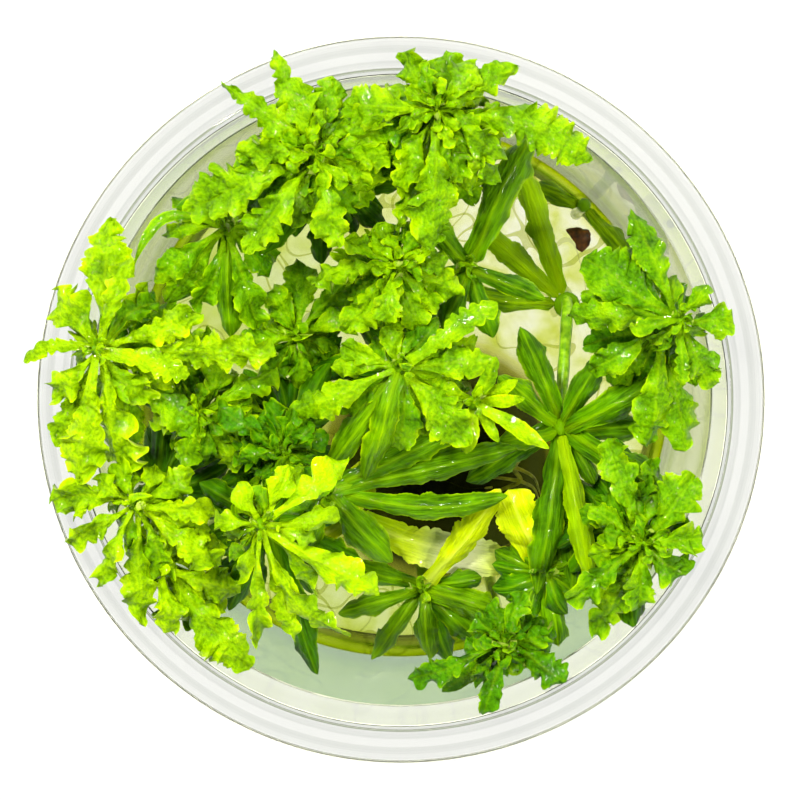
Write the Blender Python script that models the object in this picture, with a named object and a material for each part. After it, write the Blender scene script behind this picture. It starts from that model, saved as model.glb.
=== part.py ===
# Downoi plants growing in nutrient gel in a clear round culture cup, lid off.
# Every length in this file is in millimetres until the last step, which turns it to metres.
# The origin is the centre of the cup's base, +Z up. +Y is the side that the north plants lean to.

import math
from collections import namedtuple

import bmesh
import bpy
from mathutils import Matrix, Vector
from mathutils.bvhtree import BVHTree

MM = 0.001
UP = Vector((0, 0, 1))

# Cup: turned from clear plastic, with a raised lip inside a flat flange.
CUP_SEGMENTS = 30
CUP_HEIGHT = 50.0
FLANGE_RADIUS = 50.0
FLANGE_TOP = 49.0
FLANGE_THICKNESS = 0.9
FLANGE_EDGE_DROP = 1.6
LIP_RADIUS = 44.6
LIP_WIDTH = 0.9
COLLAR_BOTTOM = 36.0
COLLAR_RADIUS = 43.9
LEDGE = 0.5
WALL = 0.95
FLOOR = 1.2
FLOOR_RADIUS = 37.7
CORNER = 1.4

# Gel: fills the bottom of the cup, with a pocket for each stem.
GEL_TOP = 15.0
GAP = 0.3
GEL_GAP = 0.4
POCKET_GAP = 0.45
POCKET_OVER = 2.0

# Stems, crowns and leaves.
STEM_RADIUS = 0.9
STEM_SIDES = 5
STEM_THINNING = 0.15
HUB_RADIUS = 1.5
HUB_SHARES = (0.8, 1.0, 0.5)
HUB_HALF_HEIGHT = 1.6
HUB_DEPTH_OF_LEAF = 0.35
LEAF_STEP = 1.05
RING_WALL = 0.9
RING_HEIGHT = 1.5
RING_DEPTH_OF_LEAF = 0.62
LEAF_THICKNESS = 1.0
CLEARANCE = 0.42
LONG_LEAF = 12.5
# Stations along a leaf: how far along it, and its half width and thickness there as a share of the most.
LONG_OUTLINE = ((0.0, 0.2, 1.0), (0.28, 0.42, 1.0), (0.5, 1.0, 0.85), (0.8, 0.78, 0.65))
SHORT_OUTLINE = ((0.0, 0.24, 1.0), (0.3, 0.5, 0.9), (0.66, 1.0, 0.7))
LEAST_HALF_WIDTH = 0.45

Leaf = namedtuple("Leaf", "azimuth reach width rise arch sweep")
Plant = namedtuple("Plant", "name tone stem upper lower_height lower lower_tone")

# Colours by age: a young leaf is lime, an old one dark green or straw.
TONES = {
    "lime": (0.62, 0.85, 0.02),
    "bright": (0.35, 0.66, 0.01),
    "mid": (0.18, 0.46, 0.01),
    "dark": (0.06, 0.26, 0.01),
    "straw": (0.66, 0.72, 0.16),
}


def leaf(azimuth, reach, width, rise=-2.0, arch=2.0, sweep=0.0):
    """A leaf from its crown: its direction seen from above in degrees, 0 along +X and 90 along +Y, how far its
    tip reaches, its width, how much higher its tip is, how high it arches, and how far it bends to its left."""
    return Leaf(azimuth, reach, width, rise, arch, sweep)


def plant(name, tone, stem, upper, lower_height=None, lower=(), lower_tone="dark"):
    """A plantlet: its stem's points from the gel to the crown, the leaves at the crown, and the leaves of a
    lower whorl at lower_height on the stem."""
    return Plant(name, tone, [Vector(p) for p in stem], upper, lower_height, lower, lower_tone)


PLANTS = (
    plant(
        "west", "bright", ((-31, 5.5, 10), (-40.2, 7.3, 56)),
        (
            leaf(86, 17.5, 7.9, -2, 1.5), leaf(127, 9.5, 7.3, -1, 1.5), leaf(70, 12.7, 4.4, 1, 1.5),
            leaf(20, 13.9, 5.6, 0, 2), leaf(-2, 23.5, 5.9, -1, 1.5), leaf(-15, 12.4, 4.4, -1, 1),
            leaf(189, 10.4, 2.6, -1.5, 1, -1.8), leaf(226, 9.0, 5.6, -1, 1), leaf(261, 18.0, 7.3, -3, 1.5),
            leaf(277, 18.5, 7.3, -4, 2), leaf(245, 14.0, 5.5, -2, 1.5),
        ),
        46, (leaf(-46, 13.7, 6.1, 1, 2), leaf(8, 12.0, 4.9, -1, 2), leaf(-85, 12.0, 4.9, 0, 1)), "mid",
    ),
    plant(
        "southwest", "bright", ((-28.5, -10.5, 10), (-35.6, -13.5, 54)),
        (
            leaf(180, 11.4, 6.1, -1.5, 1.5, -1), leaf(210, 10.8, 4.4, -1.5, 1), leaf(245, 12.0, 4.1, -1.5, 1),
            leaf(272, 16.4, 5.6, -1.5, 1), leaf(-35, 14.0, 5.6, -2, 2), leaf(-4, 11.0, 4.9, -1, 1.5),
            leaf(27, 8.0, 5.1, 0, 1.5), leaf(150, 6.0, 4.1, 0, 1),
        ),
        43, (leaf(-15, 12.0, 4.9, 0, 1.5), leaf(40, 11.0, 4.9, 0, 1.5), leaf(85, 10.0, 4.9, 0, 1.5)), "dark",
    ),
    plant(
        "southwest_low", "bright", ((-25.5, -18.5, 10), (-32.7, -21.9, 47)),
        (
            leaf(-52, 19.0, 7.8, 1, 2), leaf(277, 9.0, 3.9, 1, 1), leaf(-20, 11.7, 5.6, 0, 2),
            leaf(-80, 9.5, 4.9, 1, 1.5), leaf(12, 9.0, 4.9, 0, 1.5), leaf(60, 6.0, 4.4, 1, 1),
        ),
    ),
    plant(
        "northwest", "bright", ((-10, 28, 10), (-11.3, 33.6, 57)),
        (
            leaf(203, 19.0, 7.6, -4, 2), leaf(143, 15.5, 4.9, -1, 1.5), leaf(113, 14.5, 6.3, -1, 1),
            leaf(234, 16.0, 6.3, 1, 1), leaf(250, 10.0, 5.1, -1, 1.5), leaf(283, 12.5, 6.3, 0, 1.5),
            leaf(38, 13.0, 6.3, -1, 1.5), leaf(78, 10.0, 5.6, -1, 1.5), leaf(180, 10.0, 5.4, 0, 1.5),
        ),
        45, (leaf(196, 19.0, 5.4, 3, 1.5), leaf(235, 13.0, 4.9, 0, 1.5), leaf(270, 12.0, 4.9, 0, 1.5),
             leaf(315, 11.0, 4.9, 0, 1.5)), "dark",
    ),
    plant(
        "north", "bright", ((3.5, 31.5, 10), (4.7, 39.1, 56)),
        (
            leaf(82, 8.2, 6.8, -1, 1), leaf(121, 8.8, 6.3, -1, 1), leaf(28, 11.8, 4.4, -1, 1),
            leaf(-17, 21.5, 7.6, -2, 1.5, 1.8), leaf(-34, 11.2, 5.1, -2, 1.5), leaf(268, 18.5, 7.8, 0, 1.5),
            leaf(242, 10.8, 5.1, 0, 1.5), leaf(176, 12.5, 6.3, 1, 1.5), leaf(252, 16.5, 3.9, -4, 1.5),
            leaf(52, 8.0, 5.4, -1, 1),
        ),
        44, (leaf(262, 12.0, 5.1, 0, 1.5), leaf(300, 10.0, 4.9, 0, 1.5), leaf(215, 10.0, 4.9, 0, 1.5)), "mid",
    ),
    plant(
        "east", "mid", ((30.5, 8.0, 10), (37.2, 11.3, 54)),
        (
            leaf(146, 15.0, 9.3, -2, 2), leaf(179, 14.5, 5.1, -3, 2), leaf(190, 6.6, 2.6, 1, 1),
            leaf(112, 16.0, 5.1, -2, 1.5), leaf(53, 5.6, 3.7, 2, 0.5), leaf(-5, 6.8, 5.4, -0.5, 1),
            leaf(-60, 10.0, 6.1, -2, 1.5), leaf(274, 8.6, 2.4, 1, 1),
        ),
        47, (leaf(264, 16.0, 7.3, -1, 2), leaf(-79, 16.4, 6.6, -1, 2), leaf(215, 11.0, 5.4, 0, 2)), "mid",
    ),
    plant(
        "east_centre", "mid", ((24.2, 14.5, 10), (23.8, 12.6, 29), (22.6, -1.4, 36), (22.5, -2.9, 38)),
        (
            leaf(262, 24.0, 5.6, 2, 2), leaf(274, 24.0, 5.6, 1, 2), leaf(-79, 22.0, 4.1, 4, 1),
            leaf(-62, 9.0, 3.7, 4, 0.5), leaf(-31, 18.6, 6.1, 5, 2), leaf(30, 15.0, 6.1, 4, 3.5),
            leaf(113, 14.6, 5.4, 3, 2), leaf(140, 11.0, 4.9, 2, 2), leaf(190, 8.7, 4.4, 2, 1.5),
            leaf(212, 15.5, 5.9, 1, 2), leaf(63, 11.0, 4.9, 3, 1.5), leaf(5, 11.0, 4.9, 1, 1.5),
        ),
        27, (leaf(109, 19.5, 4.9, 6, 2), leaf(138, 15.4, 4.4, 5, 2), leaf(174, 15.5, 4.2, 6, 2),
             leaf(-20, 11.6, 4.9, 5, 2)), "bright",
    ),
    plant(
        "north_centre", "mid", ((-1, 15.5, 10), (-0.5, 18.8, 52)),
        (
            leaf(190, 12.0, 4.4, -2, 1.5), leaf(5, 6.5, 4.9, 1, 1), leaf(258, 8.0, 5.6, 2, 1),
            leaf(114, 6.0, 4.4, 0, 1), leaf(232, 11.6, 5.1, 0, 1.5), leaf(157, 8.6, 4.9, -1, 1),
            leaf(287, 9.0, 4.9, -1, 1.5), leaf(-26, 9.5, 5.1, -2, 1.5),
        ),
    ),
    plant(
        "north_inner", "dark", ((8.8, 18.5, 10), (9.2, 18.3, 42)),
        (
            leaf(65, 19.5, 7.3, 3, 2), leaf(130, 9.0, 4.9, 2, 1.5), leaf(-22, 11.0, 3.9, 1, 1.5),
            leaf(-70, 10.0, 5.1, 2, 1.5), leaf(200, 9.0, 4.9, 1, 1.5), leaf(250, 9.0, 4.4, 3, 1),
        ),
    ),
    plant(
        "centre", "bright", ((-1.5, 4.5, 10), (-0.3, 4.8, 52)),
        (
            leaf(-47, 13.5, 7.8, -1, 1.5), leaf(236, 18.4, 5.1, -4, 2), leaf(253, 16.3, 5.1, -6, 3),
            leaf(6, 12.4, 5.1, 0, 1.5), leaf(34, 15.5, 3.9, 1, 1), leaf(202, 16.0, 5.6, -1, 1.5),
            leaf(110, 5.5, 3.9, 1, 0.5), leaf(160, 8.0, 4.1, 0, 1),
        ),
        41, (leaf(300, 11.0, 4.9, 0, 1.5), leaf(0, 11.0, 4.9, 0, 1.5), leaf(60, 10.0, 4.9, 0, 1.5),
             leaf(185, 11.0, 4.9, 0, 1.5)), "dark",
    ),
    plant(
        "centre_tip", "bright", ((9.3, 0.5, 10), (9.9, 0, 49)),
        (
            leaf(28, 6.2, 1.9, 3, 0.5), leaf(5, 6.4, 1.9, 2, 0.5), leaf(-31, 11.4, 2.3, 1, 1),
            leaf(-58, 6.0, 1.8, 1, 0.5), leaf(262, 6.6, 2.6, 0, 1), leaf(65, 6.5, 2.6, 2, 0.5),
            leaf(150, 4.5, 2.2, 2, 0.5),
        ),
    ),
    plant(
        "straps", "mid", ((-10.5, -10.0, 10), (-10.4, -12.2, 45)),
        (
            leaf(-2, 24.7, 4.4, 1, 1, -1.8), leaf(25, 24.5, 5.4, 0, 1.5), leaf(12, 26.5, 5.0, -3, 1.5),
            leaf(130, 4.6, 2.6, 2, 0.5), leaf(-48, 13.4, 6.1, -2, 1.5), leaf(250, 9.0, 4.9, -1, 1.5),
            leaf(190, 8.0, 4.1, 0, 1),
        ),
    ),
    plant(
        "pale", "straw", ((-6.0, -18.0, 10), (-7.3, -17.2, 34)),
        (
            leaf(-13, 25.5, 5.9, 1, 2, -1.5), leaf(70, 8.0, 4.9, 0, 1), leaf(215, 9.0, 4.9, 0, 1),
        ),
    ),
    plant(
        "pale_low", "straw", ((21.0, -22.5, 10), (20.4, -24.3, 38)),
        (
            leaf(115, 12.5, 6.4, 5, 2), leaf(-20, 9.0, 4.9, 2, 1.5), leaf(280, 9.0, 4.9, 2, 1.5),
        ),
    ),
    plant(
        "south", "dark", ((3.0, -24.5, 10), (3.1, -26.7, 35)),
        (
            leaf(236, 12.6, 3.9, -1, 2), leaf(197, 12.3, 4.4, 0, 2), leaf(275, 10.0, 4.6, -1, 2),
            leaf(-70, 11.2, 5.6, 0, 2), leaf(-44, 11.0, 5.1, 1, 1.5), leaf(-16, 11.0, 6.1, 2, 1.5),
            leaf(163, 9.5, 4.9, 2, 1), leaf(12, 8.0, 4.1, 3, 1), leaf(53, 17.5, 5.8, 8, 1.5),
        ),
    ),
    plant(
        "summit", "lime", ((-18.5, -18.5, 10), (-18.7, -15.9, 61)),
        (
            leaf(64, 8.6, 5.6, 2, 1), leaf(118, 6.0, 4.6, 2, 1), leaf(38, 14.3, 5.6, -2, 1.5),
            leaf(4, 10.4, 5.6, -1, 1.5), leaf(-31, 18.0, 7.0, -2, 2), leaf(-52, 19.0, 4.6, -4, 1.5, -2.6),
            leaf(-14, 7.2, 3.4, 2, 1), leaf(-74, 16.0, 4.0, -3, 1.5), leaf(-92, 16.5, 3.8, -4, 1.5),
            leaf(248, 8.2, 3.2, -1, 1), leaf(175, 6.0, 4.1, 0, 1),
        ),
        46, (leaf(-72, 21.0, 5.1, -1, 2), leaf(150, 9.0, 4.9, 0, 1.5), leaf(205, 9.0, 4.9, 0, 1.5),
             leaf(-25, 13.0, 5.4, 0, 1.5)), "dark",
    ),
    plant(
        "crisp", "dark", ((-16.5, -4.5, 10), (-15.9, -6.4, 53)),
        (
            leaf(22, 6.0, 3.9, 1, 0.5), leaf(78, 5.5, 3.9, 1, 0.5), leaf(144, 10.5, 4.6, 0, 1),
            leaf(195, 6.0, 3.9, 0, 0.5), leaf(250, 5.5, 3.9, 1, 0.5), leaf(312, 5.5, 3.9, 1, 0.5),
        ),
        42, (leaf(60, 11.0, 5.1, 0, 1.5), leaf(120, 10.0, 4.9, 0, 1.5), leaf(215, 10.0, 4.9, 0, 1.5)), "dark",
    ),
    plant(
        "southeast_small", "mid", ((13.0, -27.5, 10), (14.1, -32.6, 50)),
        (
            leaf(187, 5.2, 3.9, 1, 0.5), leaf(202, 14.0, 4.4, -1, 1.5), leaf(253, 9.7, 4.4, 1, 1),
            leaf(-33, 9.7, 5.9, 2, 1), leaf(71, 7.2, 4.4, 2, 0.5), leaf(135, 5.6, 3.9, 1, 0.5),
            leaf(0, 7.0, 5.6, -1, 1), leaf(222, 11.0, 2.6, -5, 1),
        ),
    ),
    plant(
        "southeast", "mid", ((26.5, -16.0, 10), (32.5, -18.7, 52)),
        (
            leaf(109, 14.4, 6.1, 2, 1.5), leaf(50, 10.7, 7.3, 0, 1.5), leaf(5, 7.8, 6.1, 0, 1),
            leaf(-39, 7.4, 6.8, 0, 1), leaf(268, 8.8, 5.6, 0, 1.5), leaf(218, 12.8, 5.6, 0, 1.5),
            leaf(246, 14.5, 5.6, -4, 2), leaf(163, 5.0, 3.9, 2, 0.5),
        ),
        41, (leaf(95, 11.0, 5.4, 1, 1.5), leaf(160, 9.0, 4.9, 0, 1.5), leaf(275, 11.0, 5.1, 0, 1.5)), "dark",
    ),
    plant(
        "northwest_low", "mid", ((-20.5, 20.5, 10), (-23.9, 23.8, 44)),
        (
            leaf(271, 15.0, 5.6, -1, 2), leaf(217, 12.0, 4.4, 0, 1.5), leaf(203, 13.0, 1.6, 2, 1, -4),
            leaf(148, 8.2, 4.6, 1, 1), leaf(-72, 14.6, 4.9, -2, 2), leaf(232, 13.0, 5.6, -2, 1.5),
        ),
    ),
    plant(
        "west_centre", "mid", ((-24.0, -0.5, 10), (-27.1, -1.5, 48)),
        (
            leaf(72, 7.4, 7.1, 0, 1), leaf(32, 11.5, 5.6, -1, 1.5), leaf(250, 7.4, 5.6, 1, 1),
            leaf(300, 9.0, 5.1, 0, 1), leaf(190, 6.4, 5.1, 0, 1), leaf(342, 8.4, 5.1, 0, 1),
        ),
    ),
    plant(
        "inner_north", "mid", ((-13.5, 10.5, 10), (-14.3, 8.9, 40)),
        (
            leaf(115, 7.0, 4.1, 4, 0.5), leaf(24, 7.5, 4.6, 3, 1), leaf(185, 8.0, 4.6, 2, 1),
            leaf(278, 8.5, 5.1, 1, 1), leaf(90, 10.0, 4.9, 1, 1.5), leaf(50, 12.0, 4.9, 1, 1.5),
        ),
    ),
    plant(
        "northeast_low", "mid", ((26.0, 26.0, 10), (26.4, 27.0, 21)),
        (leaf(160, 7.5, 4.1, 2, 1), leaf(-50, 12.0, 4.4, 1, 1)),
    ),
)

# A root that grows down from the east centre crown into the gel, and a withered scrap that lies on the gel.
ROOT_RADIUS = 0.45
ROOT_SIDES = 5
ROOT_POINTS = (
    (20.6, -4.6, 35.0), (18.4, -7.4, 30.0), (16.4, -10.6, 26.0), (17.4, -13.0, 21.0), (15.0, -14.6, 16.0),
)
SCRAP_AT = (26.6, 20.4, GEL_TOP + GAP + 0.9)
SCRAP = leaf(100, 4.0, 3.4, -0.2, 0.6)


def turned(name, profile, segments):
    """A closed solid turned about Z from a profile of (radius, height) that starts and ends on the axis."""
    mesh = bmesh.new()
    rings = []
    for radius, height in profile:
        if radius == 0:
            rings.append([mesh.verts.new((0, 0, height))])
            continue
        turns = [2 * math.pi * i / segments for i in range(segments)]
        rings.append([mesh.verts.new((radius * math.cos(a), radius * math.sin(a), height)) for a in turns])
    for lower, upper in zip(rings, rings[1:]):
        for i in range(segments):
            j = (i + 1) % segments
            corners = [lower[i % len(lower)], lower[j % len(lower)]]
            corners += [upper[j % len(upper)], upper[i % len(upper)]]
            mesh.faces.new(list(dict.fromkeys(corners)))
    bmesh.ops.recalc_face_normals(mesh, faces=mesh.faces)
    return finished(name, mesh)


def finished(name, mesh):
    """A scene object made from a bmesh, which is then freed."""
    data = bpy.data.meshes.new(name)
    mesh.to_mesh(data)
    mesh.free()
    made = bpy.data.objects.new(name, data)
    bpy.context.scene.collection.objects.link(made)
    return made


def object_of(name, points, faces):
    """A scene object from points and faces, with its faces turned outwards."""
    mesh = bmesh.new()
    corners = [mesh.verts.new(p) for p in points]
    for face in faces:
        mesh.faces.new([corners[i] for i in face])
    bmesh.ops.recalc_face_normals(mesh, faces=mesh.faces)
    return finished(name, mesh)


def across(direction):
    """Two unit vectors square to a direction: one level, one as near upright as it can be."""
    level = UP.cross(direction)
    if level.length < 1e-6:
        level = Vector((1, 0, 0))
    level.normalize()
    return level, direction.cross(level).normalized()


def tube(points, radii, sides):
    """Points and faces of a closed tube through the points, cut square at both ends."""
    corners, faces = [], []
    for i, point in enumerate(points):
        ahead = points[min(i + 1, len(points) - 1)] - points[max(i - 1, 0)]
        level, upright = across(ahead.normalized())
        for k in range(sides):
            turn = 2 * math.pi * k / sides
            corners.append(point + radii[i] * (math.cos(turn) * level + math.sin(turn) * upright))
    for i in range(len(points) - 1):
        for k in range(sides):
            j = (k + 1) % sides
            faces.append((i * sides + k, i * sides + j, (i + 1) * sides + j, (i + 1) * sides + k))
    last = (len(points) - 1) * sides
    faces.append(tuple(range(sides)))
    faces.append(tuple(range(last, last + sides)))
    return corners, faces


def spine(shape, base, share):
    """A leaf's midrib at a share of its reach, and the level direction across the leaf there."""
    turn = math.radians(shape.azimuth)
    along = Vector((math.cos(turn), math.sin(turn), 0))
    left = Vector((-along.y, along.x, 0))
    bulge = 4 * share * (1 - share)
    point = base + along * shape.reach * share + left * shape.sweep * bulge
    point.z += shape.rise * share + shape.arch * bulge
    heading = along * shape.reach + left * shape.sweep * 4 * (1 - 2 * share)
    climb = shape.rise + shape.arch * 4 * (1 - 2 * share)
    level = Vector((-heading.y, heading.x, 0)).normalized()
    normal = (heading + UP * climb).cross(level).normalized()
    return point, level, normal


def leaf_solid(shape, base, extra=0.0, first=0):
    """Points and faces of a leaf: flat on top with a keel along the midrib beneath, closed at a point. extra
    thickens it all round, to keep the space that its neighbours must leave, and first leaves out the stations
    before it."""
    outline = (LONG_OUTLINE if shape.reach >= LONG_LEAF else SHORT_OUTLINE)[first:]
    corners, faces = [], []
    for share, width_share, thickness_share in outline:
        point, level, normal = spine(shape, base, share)
        half = max(shape.width / 2 * width_share, LEAST_HALF_WIDTH) + extra
        keel = LEAF_THICKNESS * thickness_share + extra
        raised = point + normal * extra
        corners += [raised + level * half, raised - level * half, point - normal * keel]
    tip, _, _ = spine(shape, base, 1.0)
    corners.append(tip + (tip - corners[-1]).normalized() * extra)
    for i in range(len(outline) - 1):
        for k in range(3):
            j = (k + 1) % 3
            faces.append((3 * i + k, 3 * i + j, 3 * i + 3 + j, 3 * i + 3 + k))
    last = 3 * (len(outline) - 1)
    faces += [(last + k, last + (k + 1) % 3, last + 3) for k in range(3)]
    faces.append((0, 1, 2))
    return corners, faces


class Taken:
    """Space that a solid takes: its box and a tree of its faces."""

    def __init__(self, node, points, faces):
        self.node = node
        self.tree = BVHTree.FromPolygons(points, faces)
        self.low = [min(p[k] for p in points) for k in range(3)]
        self.high = [max(p[k] for p in points) for k in range(3)]

    def meets(self, other):
        apart = any(self.low[k] > other.high[k] or other.low[k] > self.high[k] for k in range(3))
        return not apart and bool(self.tree.overlap(other.tree))


def taken_by(node, made):
    """The space that a scene object takes."""
    points = [made.matrix_world @ v.co for v in made.data.vertices]
    return Taken(node, points, [tuple(face.vertices) for face in made.data.polygons])


def lifts():
    """How far a leaf's tip and its arch may be moved to clear its neighbours, the smallest moves first."""
    tries = [(tip, arch) for tip in range(-12, 13) for arch in range(-6, 10)]
    return sorted(tries, key=lambda t: (abs(t[0]) + 0.8 * abs(t[1]), t))


LIFTS = lifts()


def settled(shape, base, node, taken, whorl):
    """The leaf raised or lowered by the least that clears every solid of other nodes and, past its stalk, the
    other leaves of its whorl. It is added to both lists of taken space."""
    for tip, arch in LIFTS:
        trial = shape._replace(rise=shape.rise + tip, arch=shape.arch + arch)
        room = Taken(node, *leaf_solid(trial, base, CLEARANCE))
        if room.low[2] < GEL_TOP + GAP:
            continue
        if any(other.node != node and room.meets(other) for other in taken):
            continue
        blade = Taken(node, *leaf_solid(trial, base, CLEARANCE / 2, first=1))
        if any(blade.meets(other) for other in whorl):
            continue
        taken.append(Taken(node, *leaf_solid(trial, base)))
        whorl.append(Taken(node, *leaf_solid(trial, base, first=1)))
        return trial
    raise RuntimeError(f"{node}: no room for the leaf at {shape.azimuth} degrees")


def islands(mesh):
    """The groups of faces of a bmesh that hang together."""
    left = set(mesh.faces)
    while left:
        group, edge = set(), [left.pop()]
        while edge:
            face = edge.pop()
            group.add(face)
            for side in face.edges:
                for other in side.link_faces:
                    if other in left:
                        left.remove(other)
                        edge.append(other)
        yield group


def volume_of(faces):
    """The signed volume inside a closed group of faces: below zero round a hollow."""
    total = 0.0
    for face in faces:
        points = [v.co for v in face.verts]
        for second, third in zip(points[1:], points[2:]):
            total += points[0].dot(second.cross(third)) / 6
    return total


def without_hollows(data):
    """Fills the small hollows that crossing leaves shut in near their crown."""
    mesh = bmesh.new()
    mesh.from_mesh(data)
    for group in list(islands(mesh)):
        if volume_of(group) < 0:
            bmesh.ops.delete(mesh, geom=list(group), context="FACES")
    loose = [v for v in mesh.verts if not v.link_faces]
    bmesh.ops.delete(mesh, geom=loose, context="VERTS")
    mesh.to_mesh(data)
    mesh.free()


def joined(made, others, operation="UNION"):
    """made with the others fused to it, or cut out of it."""
    group = bpy.data.collections.new("operands")
    for other in others:
        group.objects.link(other)
    cut = made.modifiers.new("join", "BOOLEAN")
    cut.operation = operation
    cut.solver = "EXACT"
    cut.operand_type = "COLLECTION"
    cut.collection = group
    bpy.context.view_layer.update()
    result = bpy.data.meshes.new_from_object(made.evaluated_get(bpy.context.evaluated_depsgraph_get()))
    made.modifiers.clear()
    without_hollows(result)
    made.data = result
    for other in others:
        bpy.data.objects.remove(other)
    bpy.data.collections.remove(group)
    return made


def painted(made, name, colour, roughness, transmission=0.0):
    """Gives an object its own Principled material."""
    material = bpy.data.materials.new(name)
    material.use_nodes = True
    shader = material.node_tree.nodes["Principled BSDF"]
    shader.inputs["Base Color"].default_value = (*colour, 1)
    shader.inputs["Roughness"].default_value = roughness
    shader.inputs["Metallic"].default_value = 0.0
    shader.inputs["Transmission Weight"].default_value = transmission
    made.data.materials.clear()
    made.data.materials.append(material)


# How far the cup's inside leans outwards for each millimetre of height.
SLOPE = (COLLAR_RADIUS - LEDGE - FLOOR_RADIUS) / (COLLAR_BOTTOM - FLOOR)


def cup():
    """The clear cup: up its outside from the base to the flange, over the lip, and down its inside."""
    outside = FLOOR_RADIUS + WALL
    under = FLANGE_TOP - FLANGE_THICKNESS
    profile = (
        (0, 0),
        (outside - CORNER, 0),
        (outside, CORNER),
        (COLLAR_RADIUS - LEDGE + WALL, COLLAR_BOTTOM - WALL),
        (COLLAR_RADIUS + WALL, COLLAR_BOTTOM),
        (LIP_RADIUS + WALL, under),
        (FLANGE_RADIUS - FLANGE_THICKNESS, under),
        (FLANGE_RADIUS - FLANGE_THICKNESS, FLANGE_TOP - FLANGE_EDGE_DROP),
        (FLANGE_RADIUS, FLANGE_TOP - FLANGE_EDGE_DROP),
        (FLANGE_RADIUS, FLANGE_TOP),
        (LIP_RADIUS + LIP_WIDTH, FLANGE_TOP),
        (LIP_RADIUS + LIP_WIDTH, CUP_HEIGHT),
        (LIP_RADIUS, CUP_HEIGHT),
        (COLLAR_RADIUS, COLLAR_BOTTOM),
        (COLLAR_RADIUS - LEDGE, COLLAR_BOTTOM - LEDGE),
        (FLOOR_RADIUS + SLOPE * CORNER, FLOOR + CORNER),
        (FLOOR_RADIUS - CORNER, FLOOR),
        (0, FLOOR),
    )
    return turned("cup", profile, CUP_SEGMENTS)


def gel():
    """The gel: it follows the cup's inside a gap away, and has a pocket for each stem and the root."""
    low = FLOOR + GAP
    radius = FLOOR_RADIUS - GEL_GAP
    profile = (
        (0, low),
        (radius - CORNER, low),
        (radius + SLOPE * (CORNER + GAP), low + CORNER),
        (radius + SLOPE * (GEL_TOP - FLOOR), GEL_TOP),
        (0, GEL_TOP),
    )
    body = turned("gel", profile, CUP_SEGMENTS)
    cutters = []
    for row in PLANTS:
        foot, next_point = row.stem[0], row.stem[1]
        rise = (next_point - foot).normalized()
        start = foot - rise * GAP
        over = rise * (GEL_TOP + POCKET_OVER - foot.z) / rise.z
        reach = STEM_RADIUS + POCKET_GAP
        cutters.append(object_of("pocket", *tube([start, foot + over], [reach, reach], STEM_SIDES)))
    return joined(body, cutters, "DIFFERENCE")


def stem_radii(row):
    """A stem thins a little towards its crown."""
    return [STEM_RADIUS * (1 - STEM_THINNING * i / (len(row.stem) - 1)) for i in range(len(row.stem))]


def ring_place(row):
    """Where a lower whorl's ring sits on its stem, and the direction of the stem there."""
    start, end = next(pair for pair in zip(row.stem, row.stem[1:]) if pair[1].z > row.lower_height)
    share = (row.lower_height - start.z) / (end.z - start.z)
    return start.lerp(end, share), (end - start).normalized()


def hub_place(row):
    """The middle of the knob at a stem's top, and the direction of the stem there."""
    direction = (row.stem[-1] - row.stem[-2]).normalized()
    return row.stem[-1] + direction * (GAP + HUB_HALF_HEIGHT), direction


def ring(name, row):
    """The collar that a lower whorl's leaves grow from: a short sleeve round the stem."""
    place, direction = ring_place(row)
    level, upright = across(direction)
    corners, faces = [], []
    inner = (STEM_RADIUS + GAP) / math.cos(math.pi / STEM_SIDES)
    for half, radius in ((-0.5, inner), (-0.5, inner + RING_WALL), (0.5, inner + RING_WALL), (0.5, inner)):
        for k in range(STEM_SIDES):
            turn = 2 * math.pi * k / STEM_SIDES
            outward = math.cos(turn) * level + math.sin(turn) * upright
            corners.append(place + direction * half * RING_HEIGHT + outward * radius)
    for i in range(4):
        for k in range(STEM_SIDES):
            j = (k + 1) % STEM_SIDES
            after = (i + 1) % 4 * STEM_SIDES
            faces.append((i * STEM_SIDES + k, i * STEM_SIDES + j, after + j, after + k))
    return object_of(name, corners, faces)


def hub(name, row):
    """The knob at a stem's top that the crown's leaves grow from."""
    place, direction = hub_place(row)
    points = [place - direction * HUB_HALF_HEIGHT, place, place + direction * HUB_HALF_HEIGHT]
    return object_of(name, *tube(points, [HUB_RADIUS * share for share in HUB_SHARES], STEM_SIDES))


def leaf_base(row, index, shape, lower):
    """Where a leaf starts: inside the knob, one above another, or inside the wall of the ring."""
    turn = math.radians(shape.azimuth)
    along = Vector((math.cos(turn), math.sin(turn), 0))
    place, direction = ring_place(row) if lower else hub_place(row)
    outward = (along - direction * along.dot(direction)).normalized()
    if lower:
        return place + outward * (STEM_RADIUS + GAP + RING_DEPTH_OF_LEAF * RING_WALL)
    return place + outward * HUB_DEPTH_OF_LEAF * HUB_RADIUS + direction * LEAF_STEP * (index % 3 - 1)


def whorls():
    """Each whorl as (node name, plant, its leaves, whether it is a lower one), the high crowns first."""
    found = []
    for row in PLANTS:
        found.append((f"leaves_{row.name}", row, row.upper, False))
        if row.lower:
            found.append((f"leaves_{row.name}_lower", row, row.lower, True))
    return sorted(found, key=lambda w: -(w[1].lower_height if w[3] else w[1].stem[-1].z))


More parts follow.
